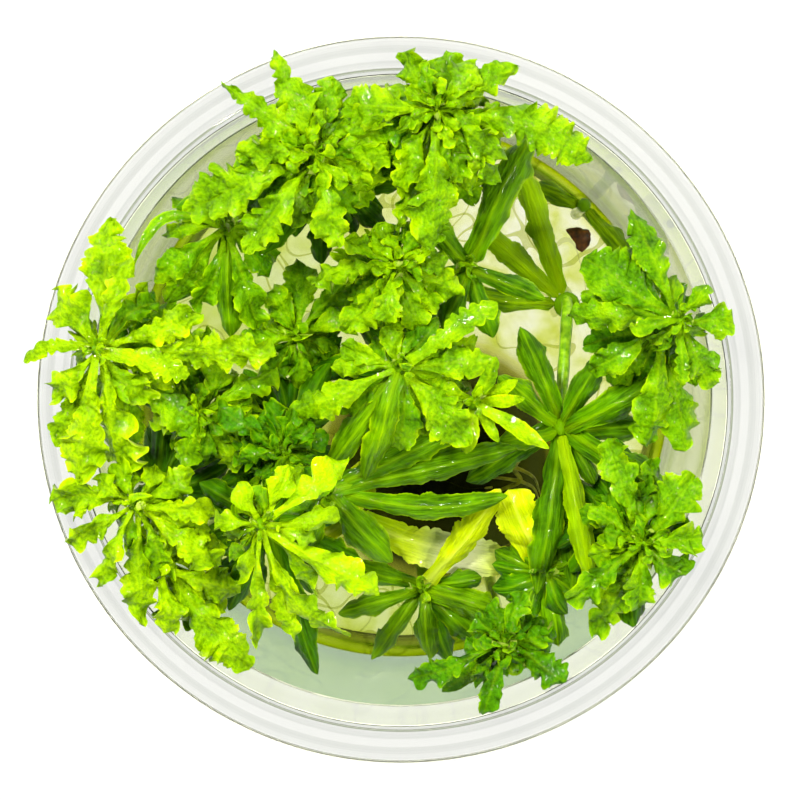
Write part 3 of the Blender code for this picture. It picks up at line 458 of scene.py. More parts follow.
PLANTS = (
    # name, tone, look, the stem's points, leaves of the crown, and a lower whorl's height, leaves and tone
    plant(
        "west", "bright", "crinkled", ((-31, 5.5, 10), (-40.2, 7.3, 56)),
        ((86, 17.5, 7.9), (127, 9.5, 7.3), (70, 12.7, 4.4), (20, 13.9, 5.6), (-2, 23.5, 5.9),
         (-15, 12.4, 4.4, 0, "toothed"), (189, 10.4, 2.6, -1.8, "toothed"), (226, 9, 5.6), (261, 18, 7.3),
         (277, 18.5, 7.3), (245, 14, 5.5)),
        46, ((-46, 13.7, 6.1), (8, 12, 4.9), (-85, 12, 4.9)), "mid",
    ),
    plant(
        "southwest", "bright", "crinkled", ((-28.5, -10.5, 10), (-35.6, -13.5, 54)),
        ((180, 11.4, 6.1, -1), (210, 10.8, 4.4), (245, 12, 4.1), (272, 16.4, 5.6), (-35, 14, 5.6),
         (-4, 11, 4.9), (27, 8, 5.1), (150, 6, 4.1)),
        43, ((-15, 12, 4.9), (40, 11, 4.9), (85, 10, 4.9)),
    ),
    plant(
        "southwest_low", "bright", "crinkled", ((-25.5, -18.5, 10), (-32.7, -21.9, 47)),
        ((-52, 19, 7.8), (277, 9, 3.9), (-20, 11.7, 5.6), (-80, 9.5, 4.9), (12, 9, 4.9), (60, 6, 4.4)),
    ),
    plant(
        "northwest", "bright", "crinkled", ((-10, 28, 10), (-11.3, 33.6, 57)),
        ((203, 19, 7.6), (143, 15.5, 4.9, 0, "tailed"), (113, 14.5, 6.3, 0, "tailed"), (234, 16, 6.3),
         (250, 10, 5.1), (283, 12.5, 6.3), (38, 13, 6.3), (78, 10, 5.6), (180, 10, 5.4)),
        45, ((196, 19, 5.4), (235, 13, 4.9), (270, 12, 4.9), (315, 11, 4.9)),
    ),
    plant(
        "north", "bright", "crinkled", ((3.5, 31.5, 10), (4.7, 39.1, 56)),
        ((82, 8.2, 6.8), (121, 8.8, 6.3), (28, 11.8, 4.4), (-17, 21.5, 7.6, 1.8), (-34, 11.2, 5.1),
         (268, 18.5, 7.8), (242, 10.8, 5.1), (176, 12.5, 6.3), (252, 16.5, 3.9), (52, 8, 5.4)),
        44, ((262, 12, 5.1), (300, 10, 4.9), (215, 10, 4.9)), "mid",
    ),
    plant(
        "east", "mid", "broad", ((30.5, 8, 10), (37.2, 11.3, 54)),
        ((146, 15, 9.3), (179, 14.5, 5.1), (190, 6.6, 2.6, 0, "toothed"), (112, 16, 5.1), (53, 5.6, 3.7),
         (-5, 6.8, 5.4), (-60, 10, 6.1), (274, 8.6, 2.4, 0, "toothed")),
        47, ((264, 16, 7.3), (-79, 16.4, 6.6), (215, 11, 5.4)), "mid",
    ),
    # Painted light: the lime tones and high ages on leaves of its lower whorl make them brighter than its
    # own green, to make up for the shade of the crown above.
    plant(
        "east_centre", "mid", "strap",
        ((24.2, 14.5, 10), (23.8, 12.6, 29), (22.6, -1.4, 36), (22.5, -2.9, 38)),
        ((262, 24, 5.6), (274, 24, 5.6), (-79, 22, 4.1, 0, None, None, "lime"), (-62, 9, 3.7),
         (-31, 18.6, 6.1), (30, 15, 6.1), (113, 14.6, 5.4), (140, 11, 4.9), (190, 8.7, 4.4),
         (212, 15.5, 5.9), (63, 11, 4.9), (5, 11, 4.9)),
        27, ((109, 19.5, 4.9, 0, None, 1, "lime"), (138, 15.4, 4.4, 0, None, 1, "lime"),
             (174, 15.5, 4.2, 0, None, 0.9), (-20, 11.6, 4.9)), "bright",
    ),
    plant(
        "north_centre", "mid", "crinkled", ((-1, 15.5, 10), (-0.5, 18.8, 52)),
        ((190, 12, 4.4), (5, 6.5, 4.9), (258, 8, 5.6), (114, 6, 4.4), (232, 11.6, 5.1), (157, 8.6, 4.9),
         (287, 9, 4.9), (-26, 9.5, 5.1)),
    ),
    plant(
        "north_inner", "dark", "strap", ((8.8, 18.5, 10), (9.2, 18.3, 42)),
        ((65, 19.5, 7.3), (130, 9, 4.9), (-22, 11, 3.9), (-70, 10, 5.1), (200, 9, 4.9), (250, 9, 4.4)),
    ),
    plant(
        "centre", "bright", "broad", ((-1.5, 4.5, 10), (-0.3, 4.8, 52)),
        ((-47, 13.5, 7.8), (236, 18.4, 5.1, 0, "strap"), (253, 16.3, 5.1, 0, "strap"), (6, 12.4, 5.1),
         (34, 15.5, 3.9, 0, "toothed"), (202, 16, 5.6), (110, 5.5, 3.9), (160, 8, 4.1)),
        41, ((300, 11, 4.9), (0, 11, 4.9), (60, 10, 4.9), (185, 11, 4.9)),
    ),
    plant(
        "centre_tip", "bright", "thin", ((9.3, 0.5, 10), (9.9, 0, 49)),
        ((28, 6.2, 1.9), (5, 6.4, 1.9), (-31, 11.4, 2.3), (-58, 6, 1.8), (262, 6.6, 2.6), (65, 6.5, 2.6),
         (150, 4.5, 2.2)),
    ),
    plant(
        "straps", "mid", "strap", ((-10.5, -10, 10), (-10.4, -12.2, 45)),
        ((-2, 24.7, 4.4, -1.8), (25, 24.5, 5.4), (12, 26.5, 5), (130, 4.6, 2.6), (-48, 13.4, 6.1),
         (250, 9, 4.9), (190, 8, 4.1)),
    ),
    plant(
        "pale", "straw", "cut", ((-6, -18, 10), (-7.3, -17.2, 34)),
        ((-13, 25.5, 5.9, -1.5, "bleached", 0.9), (70, 8, 4.9), (215, 9, 4.9)),
    ),
    plant(
        "pale_low", "straw", "strap", ((21, -22.5, 10), (20.4, -24.3, 38)),
        ((115, 12.5, 6.4, 0, "cut", 0.9, "straw"), (-20, 9, 4.9), (280, 9, 4.9)),
    ),
    plant(
        "south", "dark", "strap", ((3, -24.5, 10), (3.1, -26.7, 35)),
        ((236, 12.6, 3.9), (197, 12.3, 4.4), (275, 10, 4.6), (-70, 11.2, 5.6), (-44, 11, 5.1),
         (-16, 11, 6.1), (163, 9.5, 4.9), (12, 8, 4.1), (53, 17.5, 5.8, 0, None, 0.8, "straw")),
    ),
    plant(
        "summit", "lime", "soft", ((-18.5, -18.5, 10), (-18.7, -15.9, 61)),
        ((64, 8.6, 5.6, 0, None, None, "lime"), (118, 6, 4.6, 0, None, None, "lime"),
         (38, 14.3, 5.6, 0, None, None, "lime"), (4, 10.4, 5.6, 0, None, None, "lime"),
         (-31, 18, 7, 0, None, None, "lime"), (-52, 19, 4.6, -2.6), (-14, 7.2, 3.4), (-74, 16, 4),
         (-92, 16.5, 3.8), (248, 8.2, 3.2), (175, 6, 4.1)),
        46, ((-72, 21, 5.1), (150, 9, 4.9), (205, 9, 4.9), (-25, 13, 5.4)),
    ),
    plant(
        "crisp", "dark", "crinkled", ((-16.5, -4.5, 10), (-15.9, -6.4, 53)),
        ((22, 6, 3.9), (78, 5.5, 3.9), (144, 10.5, 4.6), (195, 6, 3.9), (250, 5.5, 3.9), (312, 5.5, 3.9)),
        42, ((60, 11, 5.1), (120, 10, 4.9), (215, 10, 4.9)),
    ),
    plant(
        "southeast_small", "mid", "crinkled", ((13, -27.5, 10), (14.1, -32.6, 50)),
        ((187, 5.2, 3.9), (202, 14, 4.4), (253, 9.7, 4.4), (-33, 9.7, 5.9), (71, 7.2, 4.4),
         (135, 5.6, 3.9), (0, 7, 5.6), (222, 11, 2.6, 0, "thin")),
    ),
    plant(
        "southeast", "mid", "crinkled", ((26.5, -16, 10), (32.5, -18.7, 52)),
        ((109, 14.4, 6.1), (50, 10.7, 7.3), (5, 7.8, 6.1), (-39, 7.4, 6.8), (268, 8.8, 5.6),
         (218, 12.8, 5.6), (246, 14.5, 5.6), (163, 5, 3.9)),
        41, ((95, 11, 5.4), (160, 9, 4.9), (275, 11, 5.1)),
    ),
    plant(
        "northwest_low", "mid", "broad", ((-20.5, 20.5, 10), (-23.9, 23.8, 44)),
        ((271, 15, 5.6, 0, "strap"), (217, 12, 4.4), (203, 13, 1.6, -4, "thin"),
         (148, 8.2, 4.6, 0, "rolled"), (-72, 14.6, 4.9), (232, 13, 5.6)),
    ),
    plant(
        "west_centre", "mid", "crinkled", ((-24, -0.5, 10), (-27.1, -1.5, 48)),
        ((72, 7.4, 7.1), (32, 11.5, 5.6), (250, 7.4, 5.6), (300, 9, 5.1), (190, 6.4, 5.1),
         (342, 8.4, 5.1)),
    ),
    plant(
        "inner_north", "mid", "broad", ((-13.5, 10.5, 10), (-14.3, 8.9, 40)),
        ((115, 7, 4.1), (24, 7.5, 4.6), (185, 8, 4.6), (278, 8.5, 5.1), (90, 10, 4.9), (50, 12, 4.9)),
    ),
    # Painted light: its two leaves get the bright tone and full age, brighter than its own green, to make
    # up for the shade of the plants around it.
    plant(
        "northeast_low", "mid", "strap", ((26, 26, 10), (26.4, 27, 21)),
        ((160, 7.5, 4.1, 0, None, 1, "bright"), (-50, 12, 4.4, 0, None, 1, "bright")),
    ),
)
print("plantlets:", len(PLANTS), "with", sum(len(p.upper) + len(p.lower) for p in PLANTS), "main leaves")

# %% [markdown]
# Where a leaf starts on its crown, and the line of its midrib, follow the same rules as the solids. The
# midrib is a straight run with a parabola added upwards and one sideways. It is worked out for whole
# arrays of points at once, because numpy does that many times faster than a loop.

# %% Crowns and midribs
STEM_RADIUS = 0.9
GAP = 0.3
HUB_RADIUS = 1.5
HUB_HALF_HEIGHT = 1.6
HUB_DEPTH_OF_LEAF = 0.35
LEAF_STEP = 1.05
RING_WALL = 0.9
RING_DEPTH_OF_LEAF = 0.62
UP = np.array((0.0, 0.0, 1.0))


def unit(vector):
    """The vector, or each of an array of them, at length 1."""
    return vector / np.linalg.norm(vector, axis=-1, keepdims=True)


def heading_of(azimuth):
    """The level direction at an azimuth in degrees, counted from +X towards +Y."""
    turn = math.radians(azimuth)
    return np.array((math.cos(turn), math.sin(turn), 0.0))


def crown_place(row, lower):
    """The middle of a whorl, and the direction of the stem there."""
    if not lower:
        direction = unit(row.stem[-1] - row.stem[-2])
        return row.stem[-1] + direction * (GAP + HUB_HALF_HEIGHT), direction
    i = next(i for i in range(1, len(row.stem)) if row.stem[i][2] > row.lower_height)
    share = (row.lower_height - row.stem[i - 1][2]) / (row.stem[i][2] - row.stem[i - 1][2])
    return row.stem[i - 1] + (row.stem[i] - row.stem[i - 1]) * share, unit(row.stem[i] - row.stem[i - 1])


def leaf_base(row, index, azimuth, lower):
    """Where a leaf starts: inside the crown's knob, or inside the collar of a lower whorl."""
    place, direction = crown_place(row, lower)
    along = heading_of(azimuth)
    outward = unit(along - direction * along.dot(direction))
    if lower:
        return place + outward * (STEM_RADIUS + GAP + RING_DEPTH_OF_LEAF * RING_WALL)
    return place + outward * HUB_DEPTH_OF_LEAF * HUB_RADIUS + direction * LEAF_STEP * (index % 3 - 1)


def midrib(shape, base, share):
    """Points along a leaf's midrib, the level direction across it and the normal of its upper side."""
    share = np.asarray(share, float)[..., None]
    along = heading_of(shape.azimuth)
    left = np.array((-along[1], along[0], 0.0))
    bulge = 4 * share * (1 - share)
    lean = 4 * (1 - 2 * share)
    point = base + along * shape.reach * share + left * shape.sweep * bulge
    point = point + UP * (shape.rise * share + shape.arch * bulge)
    heading = along * shape.reach + left * shape.sweep * lean
    level = unit(np.cross(UP, heading))
    return point, level, unit(np.cross(heading + UP * (shape.rise + shape.arch * lean), level))


print("midrib rule is ready")

# %% [markdown]
# The solids were nudged up or down, leaf by leaf, until they cleared each other. So heights are measured
# here: the height of the leaf's tip in the frame gives its rise, and the height of its edge at mid-length
# gives its arch. A leaf that can't be found stops the script.

# %% Read each leaf's height from the frame
LONG_LEAF = 12.5
LONG_EDGE = 0.5
SHORT_EDGE = 0.66
LEAST_HALF_WIDTH = 0.45
FOUND_WITHIN = 0.12


def height_at(points, place):
    """The height of the solid's corner that lies at a place seen from above."""
    away = np.hypot(points[:, 0] - place[0], points[:, 1] - place[1])
    nearest = int(np.argmin(away))
    if away[nearest] > FOUND_WITHIN:
        raise RuntimeError(f"no corner within {FOUND_WITHIN} mm of {place}")
    return points[nearest, 2]


def settled(shape, base, points):
    """The leaf with the rise and arch that its solid has. Its row is flat, with neither."""
    edge = LONG_EDGE if shape.reach >= LONG_LEAF else SHORT_EDGE
    tip, _, _ = midrib(shape, base, 1.0)
    middle, level, _ = midrib(shape, base, edge)
    half = max(shape.width / 2, LEAST_HALF_WIDTH)
    rise = height_at(points, tip) - base[2]
    bulge = 4 * edge * (1 - edge)
    arch = (height_at(points, middle + level * half) - base[2] - rise * edge) / bulge
    return shape._replace(rise=rise, arch=arch)


def corners_of(node):
    """The corners of a solid in the frame, in millimetres."""
    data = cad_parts[node].data
    places = np.empty(len(data.vertices) * 3)
    data.vertices.foreach_get("co", places)
    return places.reshape(-1, 3) / MM


def whorls():
    """Each whorl: its node, its plant, whether it is a lower one, and its leaves as the solids are."""
    for row in PLANTS:
        for lower, leaves in ((False, row.upper), (True, row.lower)):
            if not leaves:
                continue
            node = f"leaves_{row.name}" + ("_lower" if lower else "")
            points = corners_of(node)
            bases = [leaf_base(row, i, shape.azimuth, lower) for i, shape in enumerate(leaves)]
            yield node, row, lower, [(settled(s, b, points), b) for s, b in zip(leaves, bases)]


WHORLS = list(whorls())
print("whorls read from the frame:", len(WHORLS))

# %% [markdown]
# Crinkles need noise. Blender's own noise function works on one point at a time, so a small table of
# random values is smoothed between its cells instead, for whole arrays. Taking the size of such noise,
# without its sign, gives rounded puffs with sharp furrows between them, which is how a bullate leaf
# looks.

# %% Smooth noise for whole arrays
CELLS = 64
NOISE_TABLE = np.random.default_rng(11).uniform(-1, 1, (CELLS, CELLS))


def patches(x, y):
    """Smooth noise between -1 and 1, with about one hill or dip for each unit."""
    left, low = np.floor(x).astype(int), np.floor(y).astype(int)
    u, v = x - left, y - low
    u, v = u * u * (3 - 2 * u), v * v * (3 - 2 * v)
    here, beyond = left % CELLS, (left + 1) % CELLS
    near, far = (
        NOISE_TABLE[here, line % CELLS] * (1 - u) + NOISE_TABLE[beyond, line % CELLS] * u
        for line in (low, low + 1))
    return near * (1 - v) + far * v


def eased(value, start, end):
    """0 before start, 1 after end, and a smooth step between."""
    share = np.clip((value - start) / (end - start), 0, 1)
    return share * share * (3 - 2 * share)


print("noise runs from", NOISE_TABLE.min().round(2), "to", NOISE_TABLE.max().round(2))

# %% [markdown]
# A downoi leaf is widest past its middle, on a narrow stalk. A young one is lobed, ruffled and puffed up
# between its veins; an old one is a smooth strap with grooves along it. Each look is a row of numbers for
# the same blade rule.

# %% The looks of leaves
Look = namedtuple("Look", (
    "stalk neck peak taper lobe depth teeth ruffle fold camber swell puff groove twist wide roll fade"),
    defaults=(0, 0.25))
LOOKS = {
    # Lengths are in millimetres: lobe is the spacing of the lobes, and ruffle, swell, puff and groove are
    # heights. fold and camber are how far the halves stand up or hang down, as a share of their width.
    # twist is how far leaves happen to turn about their midrib, and roll how far they all do, in degrees at
    # the tip. wide is a factor on the row's width, and fade is how much fresher the tip is than the base.
    "crinkled": Look(0.16, 0.16, 0.6, 2.0, 1.7, 0.34, 0.1, 1.0, 0.5, 0.1, 0.5, 0.4, 0.0, 24, 0.95),
    "broad": Look(0.14, 0.18, 0.58, 2.0, 1.8, 0.25, 0.09, 0.7, 0.45, 0.15, 0.4, 0.28, 0.0, 18, 0.95),
    "soft": Look(0.24, 0.2, 0.62, 1.8, 2.6, 0.42, 0.09, 0.8, 0.5, 0.1, 0.5, 0.2, 0.0, 24, 0.85),
    "strap": Look(0.05, 0.55, 0.48, 2.4, 1.3, 0.05, 0.04, 0.16, 0.1, 0.9, 0.24, 0.05, 0.09, 8, 0.8),
    "toothed": Look(0.08, 0.36, 0.6, 3.0, 1.5, 0.5, 0.02, 0.2, 0.2, 0.1, 0.14, 0.06, 0.0, 8, 1.0),
    "thin": Look(0.04, 0.6, 0.5, 2.0, 2.4, 0.1, 0.04, 0.12, 0.1, 0.2, 0.1, 0.03, 0.0, 8, 1.0),
    "cut": Look(0.02, 0.6, 0.45, 4.0, 2.2, 0.14, 0.05, 0.4, 0.2, 0.2, 0.34, 0.1, 0.1, 10, 1.0),
    "bleached": Look(0.02, 0.7, 0.45, 5.0, 2.2, 0.12, 0.05, 0.35, 0.1, 0.2, 0.3, 0.08, 0.1, 6, 1.0, 0, 1.4),
    "tailed": Look(0.12, 0.2, 0.34, 0.5, 1.7, 0.34, 0.1, 0.8, 0.4, 0.05, 0.5, 0.32, 0.0, 24, 1.2),
    "rolled": Look(0.05, 0.5, 0.5, 2.0, 1.6, 0.1, 0.06, 0.25, 0.1, 0.45, 0.2, 0.1, 0.06, 6, 1.0, 75),
}
print("looks:", ", ".join(LOOKS))

# %% [markdown]
# The outline comes first. Each side of a leaf has lobes of its own, since no real leaf is the same on
# both. A lobe is one hump of a sine, pressed so that the cuts between lobes are sharp, and small teeth
# ride on it at a finer spacing. Noise makes some lobes longer, some bolder and some hardly cut.

# %% A leaf's outline


def margin(look, run, length, draw):
    """One side of a leaf's outline: its half width as a share of the most, where each row lies in its lobe,
    and the half width without lobes."""
    widening = look.neck + (1 - look.neck) * eased(run, look.stalk, look.peak)
    past = np.clip((run - look.peak) / (1 - look.peak), 0, 1)
    body = np.where(run > look.peak, (1 - past ** look.taper) ** 0.6, widening)
    spot, line = draw.uniform(0, 60, 2)
    phase = run * length / look.lobe + patches(run * length / (look.lobe * 2.5) + spot, line) + spot
    fine = 2.6 * phase + 0.6 * patches(phase * 1.4, line + 9)
    lobe = np.sin(math.pi * (phase % 1.0) ** 1.3) ** 0.55
    tooth = np.abs(np.sin(math.pi * fine))
    bold = 1 + 1.1 * patches(phase, line + 20)
    sharp = 1 + 1.2 * patches(fine, line + 31)
    grown = eased(run, look.stalk + 0.06, look.stalk + 0.28)
    size = 1 + 0.2 * patches(phase * 0.7 + line, 9)
    cut = grown * (look.depth * bold * (1 - lobe) + look.teeth * sharp * (1 - tooth))
    return body * size * (1 - cut), phase, body


print("lobes in mm:", {name: look.lobe for name, look in LOOKS.items()})

# %% [markdown]
# The surface follows the outline. Rows run across the leaf from its stalk to its tip, bent forwards at
# the margin as veins are, and each point is lifted by the fold, the ruffle, slow swells, puffs and
# grooves. The same numbers fill the masks, so painted shade and shape agree: a furrow is both low and
# painted dark, and a puff both high and painted light.

# %% A leaf's surface
ROW_STEP, ROWS = 0.28, (12, 96)
COLUMN_STEP, HALF_COLUMNS = 0.33, (3, 10)
UNDER_SIDES = (0.8, 0.4, 0.0, -0.4, -0.8)
THICKNESS = 0.34
LEAST_MARGIN = 0.1
RIB_HEIGHT = 0.25
VEIN_SLANT = 0.7
VEIN_DEPTH = 0.09
SMOOTH_PUFF, SMOOTH_VEIN = 0.08, 0.4
RIB_TINT, RIB_TINT_BELOW = 0.45, 0.4
PALE_BELOW = 0.85
STRAP_GRAIN = (2.2, 0.26)
CRINKLED_GRAIN = (0.5, 0.42)
SWELL_SIZE = 2.2
PUFF_SIZE = 0.95


def blade(shape, base, look, age, draw):
    """A leaf as closed rings from its stalk to its tip: points, and its masks."""
    length = math.hypot(shape.reach, shape.rise)
    rows = int(np.clip(length / ROW_STEP, *ROWS)) + 1
    columns = 2 * int(np.clip(shape.width / 2 / COLUMN_STEP, *HALF_COLUMNS)) + 1
    run = np.linspace(0, 1, rows)[:, None]
    halves, phases, bodies = zip(*(margin(look, run, length, draw) for _ in range(2)))
    shift = draw.uniform(0, 60, 4)
    twist = math.radians(look.roll + draw.normal(0, look.twist))
    droop = draw.uniform(0.0, 0.6)
    wave = draw.uniform(0, 6.28, 3)
    wiggle = draw.uniform(-0.5, 0.5)
    fold = draw.uniform(-1, 1) * look.fold

    def surface(sides, upper):
        side = np.array(sides)[None, :]
        away = np.abs(side)
        half = np.maximum(np.where(side < 0, *halves) * look.wide * shape.width / 2, LEAST_MARGIN)
        phase = np.where(side < 0, *phases)
        smooth_half = np.where(side < 0, *bodies) * shape.width / 2
        share = np.clip(run + VEIN_SLANT * away ** 1.4 * smooth_half / shape.reach * (1 - run) ** 0.8, 0, 1)
        x, y = share * length, side * half
        grown = eased(run, 0.05, 0.3)
        edge_wave = np.where(side < 0, wave[0], wave[1])
        height = (fold * away - look.camber * away ** 2) * half * grown
        frill = 1 + 0.8 * patches(phase * 0.6 + shift[0], 5)
        height = height + look.ruffle * frill * away ** 2.2 * np.sin(math.pi * phase + edge_wave) * grown
        hills = patches(x / SWELL_SIZE + shift[0], y / SWELL_SIZE + shift[1])
        height = height + look.swell * hills * grown
        furrows = np.abs(patches(x / PUFF_SIZE + shift[2], y / PUFF_SIZE + shift[3]))
        billow = np.clip(furrows * 2.2, 0, 1) ** 0.8
        inside = eased(away, 0.0, 0.15) * eased(-away, -0.95, -0.7)
        vein = np.exp(-((phase % 1.0 - 0.5) / 0.1) ** 2) * inside
        rib = np.exp(-(y / (0.14 + 0.5 * (1 - share) ** 3)) ** 2)
        grooves = 0.5 + 0.5 * np.cos(side * math.pi * 4 + 0.6 * patches(x / 4 + shift[0], 3))
        if upper:
            height = height + look.puff * (billow - 0.35) * (1 - away ** 5) * grown
            height = height + look.groove * (grooves - 0.5) * (1 - away ** 4)
            sunk = 1 if look.puff > SMOOTH_PUFF else SMOOTH_VEIN
            height = height + RIB_HEIGHT * rib * (0.6 - share) - VEIN_DEPTH * vein * grown * sunk
            rib_tint, pale = RIB_TINT, 0.0
        else:
            height = height - (THICKNESS + RIB_HEIGHT * rib) * (1 - away ** 6)
            rib_tint, pale = RIB_TINT_BELOW, PALE_BELOW
        height = height - droop * share ** 4
        point, level, normal = midrib(shape, base, share)
        turn = (twist * share ** 1.3)[..., None]
        across = level * np.cos(turn) + normal * np.sin(turn)
        over = normal * np.cos(turn) - level * np.sin(turn)
        y = y + wiggle * np.sin(5 * share + wave[2]) * share * (1 - share) * 3
        places = point + across * y[..., None] + over * height[..., None]
        # Painted shade and light: relief is low in grooves and furrows and high on swells and puffs, and it
        # rises towards the margin, the more so the more ruffled the leaf.
        if look.groove:
            relief = 0.36 + 0.15 * (grooves - 0.5) + 0.22 * hills
            grain = STRAP_GRAIN
        else:
            relief = 0.5 + 0.24 * hills + 0.2 * (billow - 0.5)
            grain = CRINKLED_GRAIN
        relief = np.clip(relief + 0.2 * (away - 0.5) * look.ruffle, 0, 1)
        masks = {
            "relief": relief,
            "rib": np.clip(rib + 0.2 * vein * grown, 0, 1) * (1 - 0.6 * share) * rib_tint,
            "rim": eased(away, 0.82, 1.0) * np.clip(0.45 + 0.7 * hills, 0, 1) * grown,
            "age": np.clip(age + look.fade * (share - 0.5) + 0 * relief, 0, 1),
            "bleach": max(look.fade - 0.5, 0) * np.exp(-((share - 0.62) / 0.14) ** 2) + 0 * relief,
            "below": np.full(relief.shape, pale),
            "grain_along": x / grain[0] + 9 * shift[2],
            "grain_across": y / grain[1] + 9 * shift[3],
        }
        return places, masks

    top, top_masks = surface(np.linspace(1, -1, columns), True)
    bottom, bottom_masks = surface(UNDER_SIDES[::-1], False)
    rings = np.concatenate([top, bottom], axis=1)
    return rings, {key: np.concatenate([top_masks[key], bottom_masks[key]], axis=1) for key in top_masks}


print("a leaf's surface has at most", ROWS[1] + 1, "rows of", 2 * HALF_COLUMNS[1] + 1, "points on top")

# %% [markdown]
# Every blade, stalk and root is a row of rings skinned to one closed tube, which is why one small
# function can turn them all into a mesh: quads between the rings and a cap at each end.

# %% Skin rings to a mesh


class Build:
    """Collects closed tubes of rings, and the masks that their points carry, for one mesh."""

    def __init__(self):
        self.points, self.faces, self.masks, self.tones, self.count = [], [], {}, [], 0

    def tube(self, rings, masks=None, tone=None):
        rows, around = rings.shape[:2]
        here = np.arange(rows * around).reshape(rows, around) + self.count
        beside = np.roll(here, -1, axis=1)
        quads = np.stack([here[:-1], beside[:-1], beside[1:], here[1:]], axis=-1).reshape(-1, 4)
        self.faces += quads.tolist() + [here[0, ::-1].tolist(), here[-1].tolist()]
        self.tones += [tone] * (len(quads) + 2)
        self.points.append(rings.reshape(-1, 3))
        for key in MASKS:
            usual = np.full((rows, around), 0.5 if key in ("relief", "age") else 0.0)
            self.masks.setdefault(key, []).append((masks or {}).get(key, usual).ravel())
        self.count += rows * around

    def finish(self, name, finishes, slot, *nodes, masks=True, sharp=70):
        """The piece, which takes the place of solids in the frame. finishes is a material for each tone."""
        mesh = bpy.data.meshes.new(name)
        mesh.from_pydata((np.concatenate(self.points) * MM).tolist(), [], self.faces)
        for key, values in self.masks.items() if masks else ():
            mesh.attributes.new(key, "FLOAT", "POINT").data.foreach_set("value", np.concatenate(values))
        mesh.shade_smooth()
        mesh.set_sharp_from_angle(angle=math.radians(sharp))
        tones = sorted(set(self.tones), key=str)
        for tone in tones:
            mesh.materials.append(finishes[tone])
        mesh.polygons.foreach_set("material_index", [tones.index(tone) for tone in self.tones])
        made = bpy.data.objects.new(name, mesh)
        bpy.context.scene.collection.objects.link(made)
        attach(made, "root")
        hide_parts(*nodes)
        return made


def round_rings(path, radii, sides):
    """Rings of a round tube along a path of points."""
    path = np.array(path, float)
    ahead = unit(np.gradient(path, axis=0))
    level = unit(np.cross(UP, ahead) + np.array((1e-6, 0, 0)))
    upright = np.cross(ahead, level)
    turn = np.linspace(0, 2 * math.pi, sides, endpoint=False)[None, :, None]
    circle = level[:, None] * np.cos(turn) + upright[:, None] * np.sin(turn)
    return path[:, None] + circle * np.array(radii, float)[:, None, None]


def smooth_path(points, steps):
    """A smooth curve through the points, with so many steps between each two."""
    points = np.array(points, float)
    padded = np.concatenate([2 * points[:1] - points[1:2], points, 2 * points[-1:] - points[-2:-1]])
    share = np.linspace(0, 1, steps, endpoint=False)[:, None]
    found = []
    for a, b, c, d in zip(padded, padded[1:], padded[2:], padded[3:]):
        found.append(0.5 * (2 * b + (c - a) * share + (2 * a - 5 * b + 4 * c - d) * share ** 2
                            + (3 * b - a - 3 * c + d) * share ** 3))
    return np.concatenate(found + [points[-1:]])


print("skinning is ready")

# %% [markdown]
# The photo's tangle is denser than the main leaves alone. Between two that stand far apart, a crown has
# shorter leaves a little lower down, and in its middle it has a tuft of unopened ones that point upwards.
# Both are added by rule, inside the reach of the whorl's own solid.

# %% Leaves between leaves, and the tuft in a crown
WIDE_GAP = 22
CUP_ROOM = 40.5
# A filler's reach and width are shares of its neighbours' together, within bounds, and its layer turns and
# lowers it. Each leaf of a tuft reaches a step further than the one before and stands a little less high.
FILLER_REACH, REACH_LEAST, REACH_MOST = 0.4, 3.5, 12.0
FILLER_WIDTH, WIDTH_MOST = 0.43, 0.6
FILLER_RISE, FILLER_ARCH, FILLER_BELOW = 0.3, 1.2, 0.5
LAYER_TURN, LAYER_DROP = 11, 2.5
GOLDEN_TURN = 137.5
TUFT_REACH, TUFT_STEP = 0.9, 0.28
TUFT_RISE, TUFT_LEAN, TUFT_ARCH = 2.0, 0.1, 0.5
TUFT_INSET = 0.3
# How many layers of fillers a whorl has, and how many leaves a tuft has, where they aren't the usual.
LAYERS = {
    "north": 3, "northwest": 3, "north_centre": 2, "crisp": 2, "west_centre": 2, "southeast": 2,
    "summit": 2, "southeast_small": 2, "southwest_low": 2, "inner_north": 2, "northeast_low": 0,
    "north_inner": 0, "east_centre": 0, "east_centre_lower": 0, "pale": 0, "straps": 0, "centre_tip": 0,
    "south": 0,
}
TUFTED = {
    "north": 20, "northwest": 20, "north_centre": 18, "crisp": 18, "west_centre": 14, "southeast": 12,
    "southeast_small": 12, "southwest_low": 10, "summit": 6, "east": 5, "pale_low": 2, "pale": 2,
    "northeast_low": 0, "east_centre": 0,
}
USUAL_LAYERS = 1
USUAL_TUFT = 4


def fillers(leaves, layer, draw):
    """Shorter leaves in the wide gaps between a whorl's leaves. Each layer hangs lower than the last."""
    around = sorted(leaves, key=lambda pair: pair[0].azimuth % 360)
    found = []
    for (first, base), (second, other) in zip(around, around[1:] + around[:1]):
        gap = (second.azimuth - first.azimuth) % 360
        parts = int(gap // WIDE_GAP) + 1
        for k in range(1, parts):
            share = k / parts
            azimuth = first.azimuth + gap * share + draw.uniform(-5, 5) + LAYER_TURN * layer
            reach = min(REACH_MOST + layer, FILLER_REACH * (first.reach + second.reach))
            reach = reach * draw.uniform(0.75, 1.1)
            start = (base + other) / 2 - UP * FILLER_BELOW
            end = np.hypot(*(start + heading_of(azimuth) * reach)[:2])
            reach = max(reach - max(end - CUP_ROOM, 0), REACH_LEAST)
            width = min(FILLER_WIDTH * (first.width + second.width), reach * WIDTH_MOST)
            rise = (first.rise + second.rise) * FILLER_RISE - draw.uniform(0.5, 4.0) - LAYER_DROP * layer
            age = draw.uniform(0.2, 0.8)
            sweep = draw.uniform(-1, 1)
            shape = Leaf(azimuth, reach, width, sweep, age=age, rise=rise, arch=FILLER_ARCH)
            found.append((shape, start))
    return found


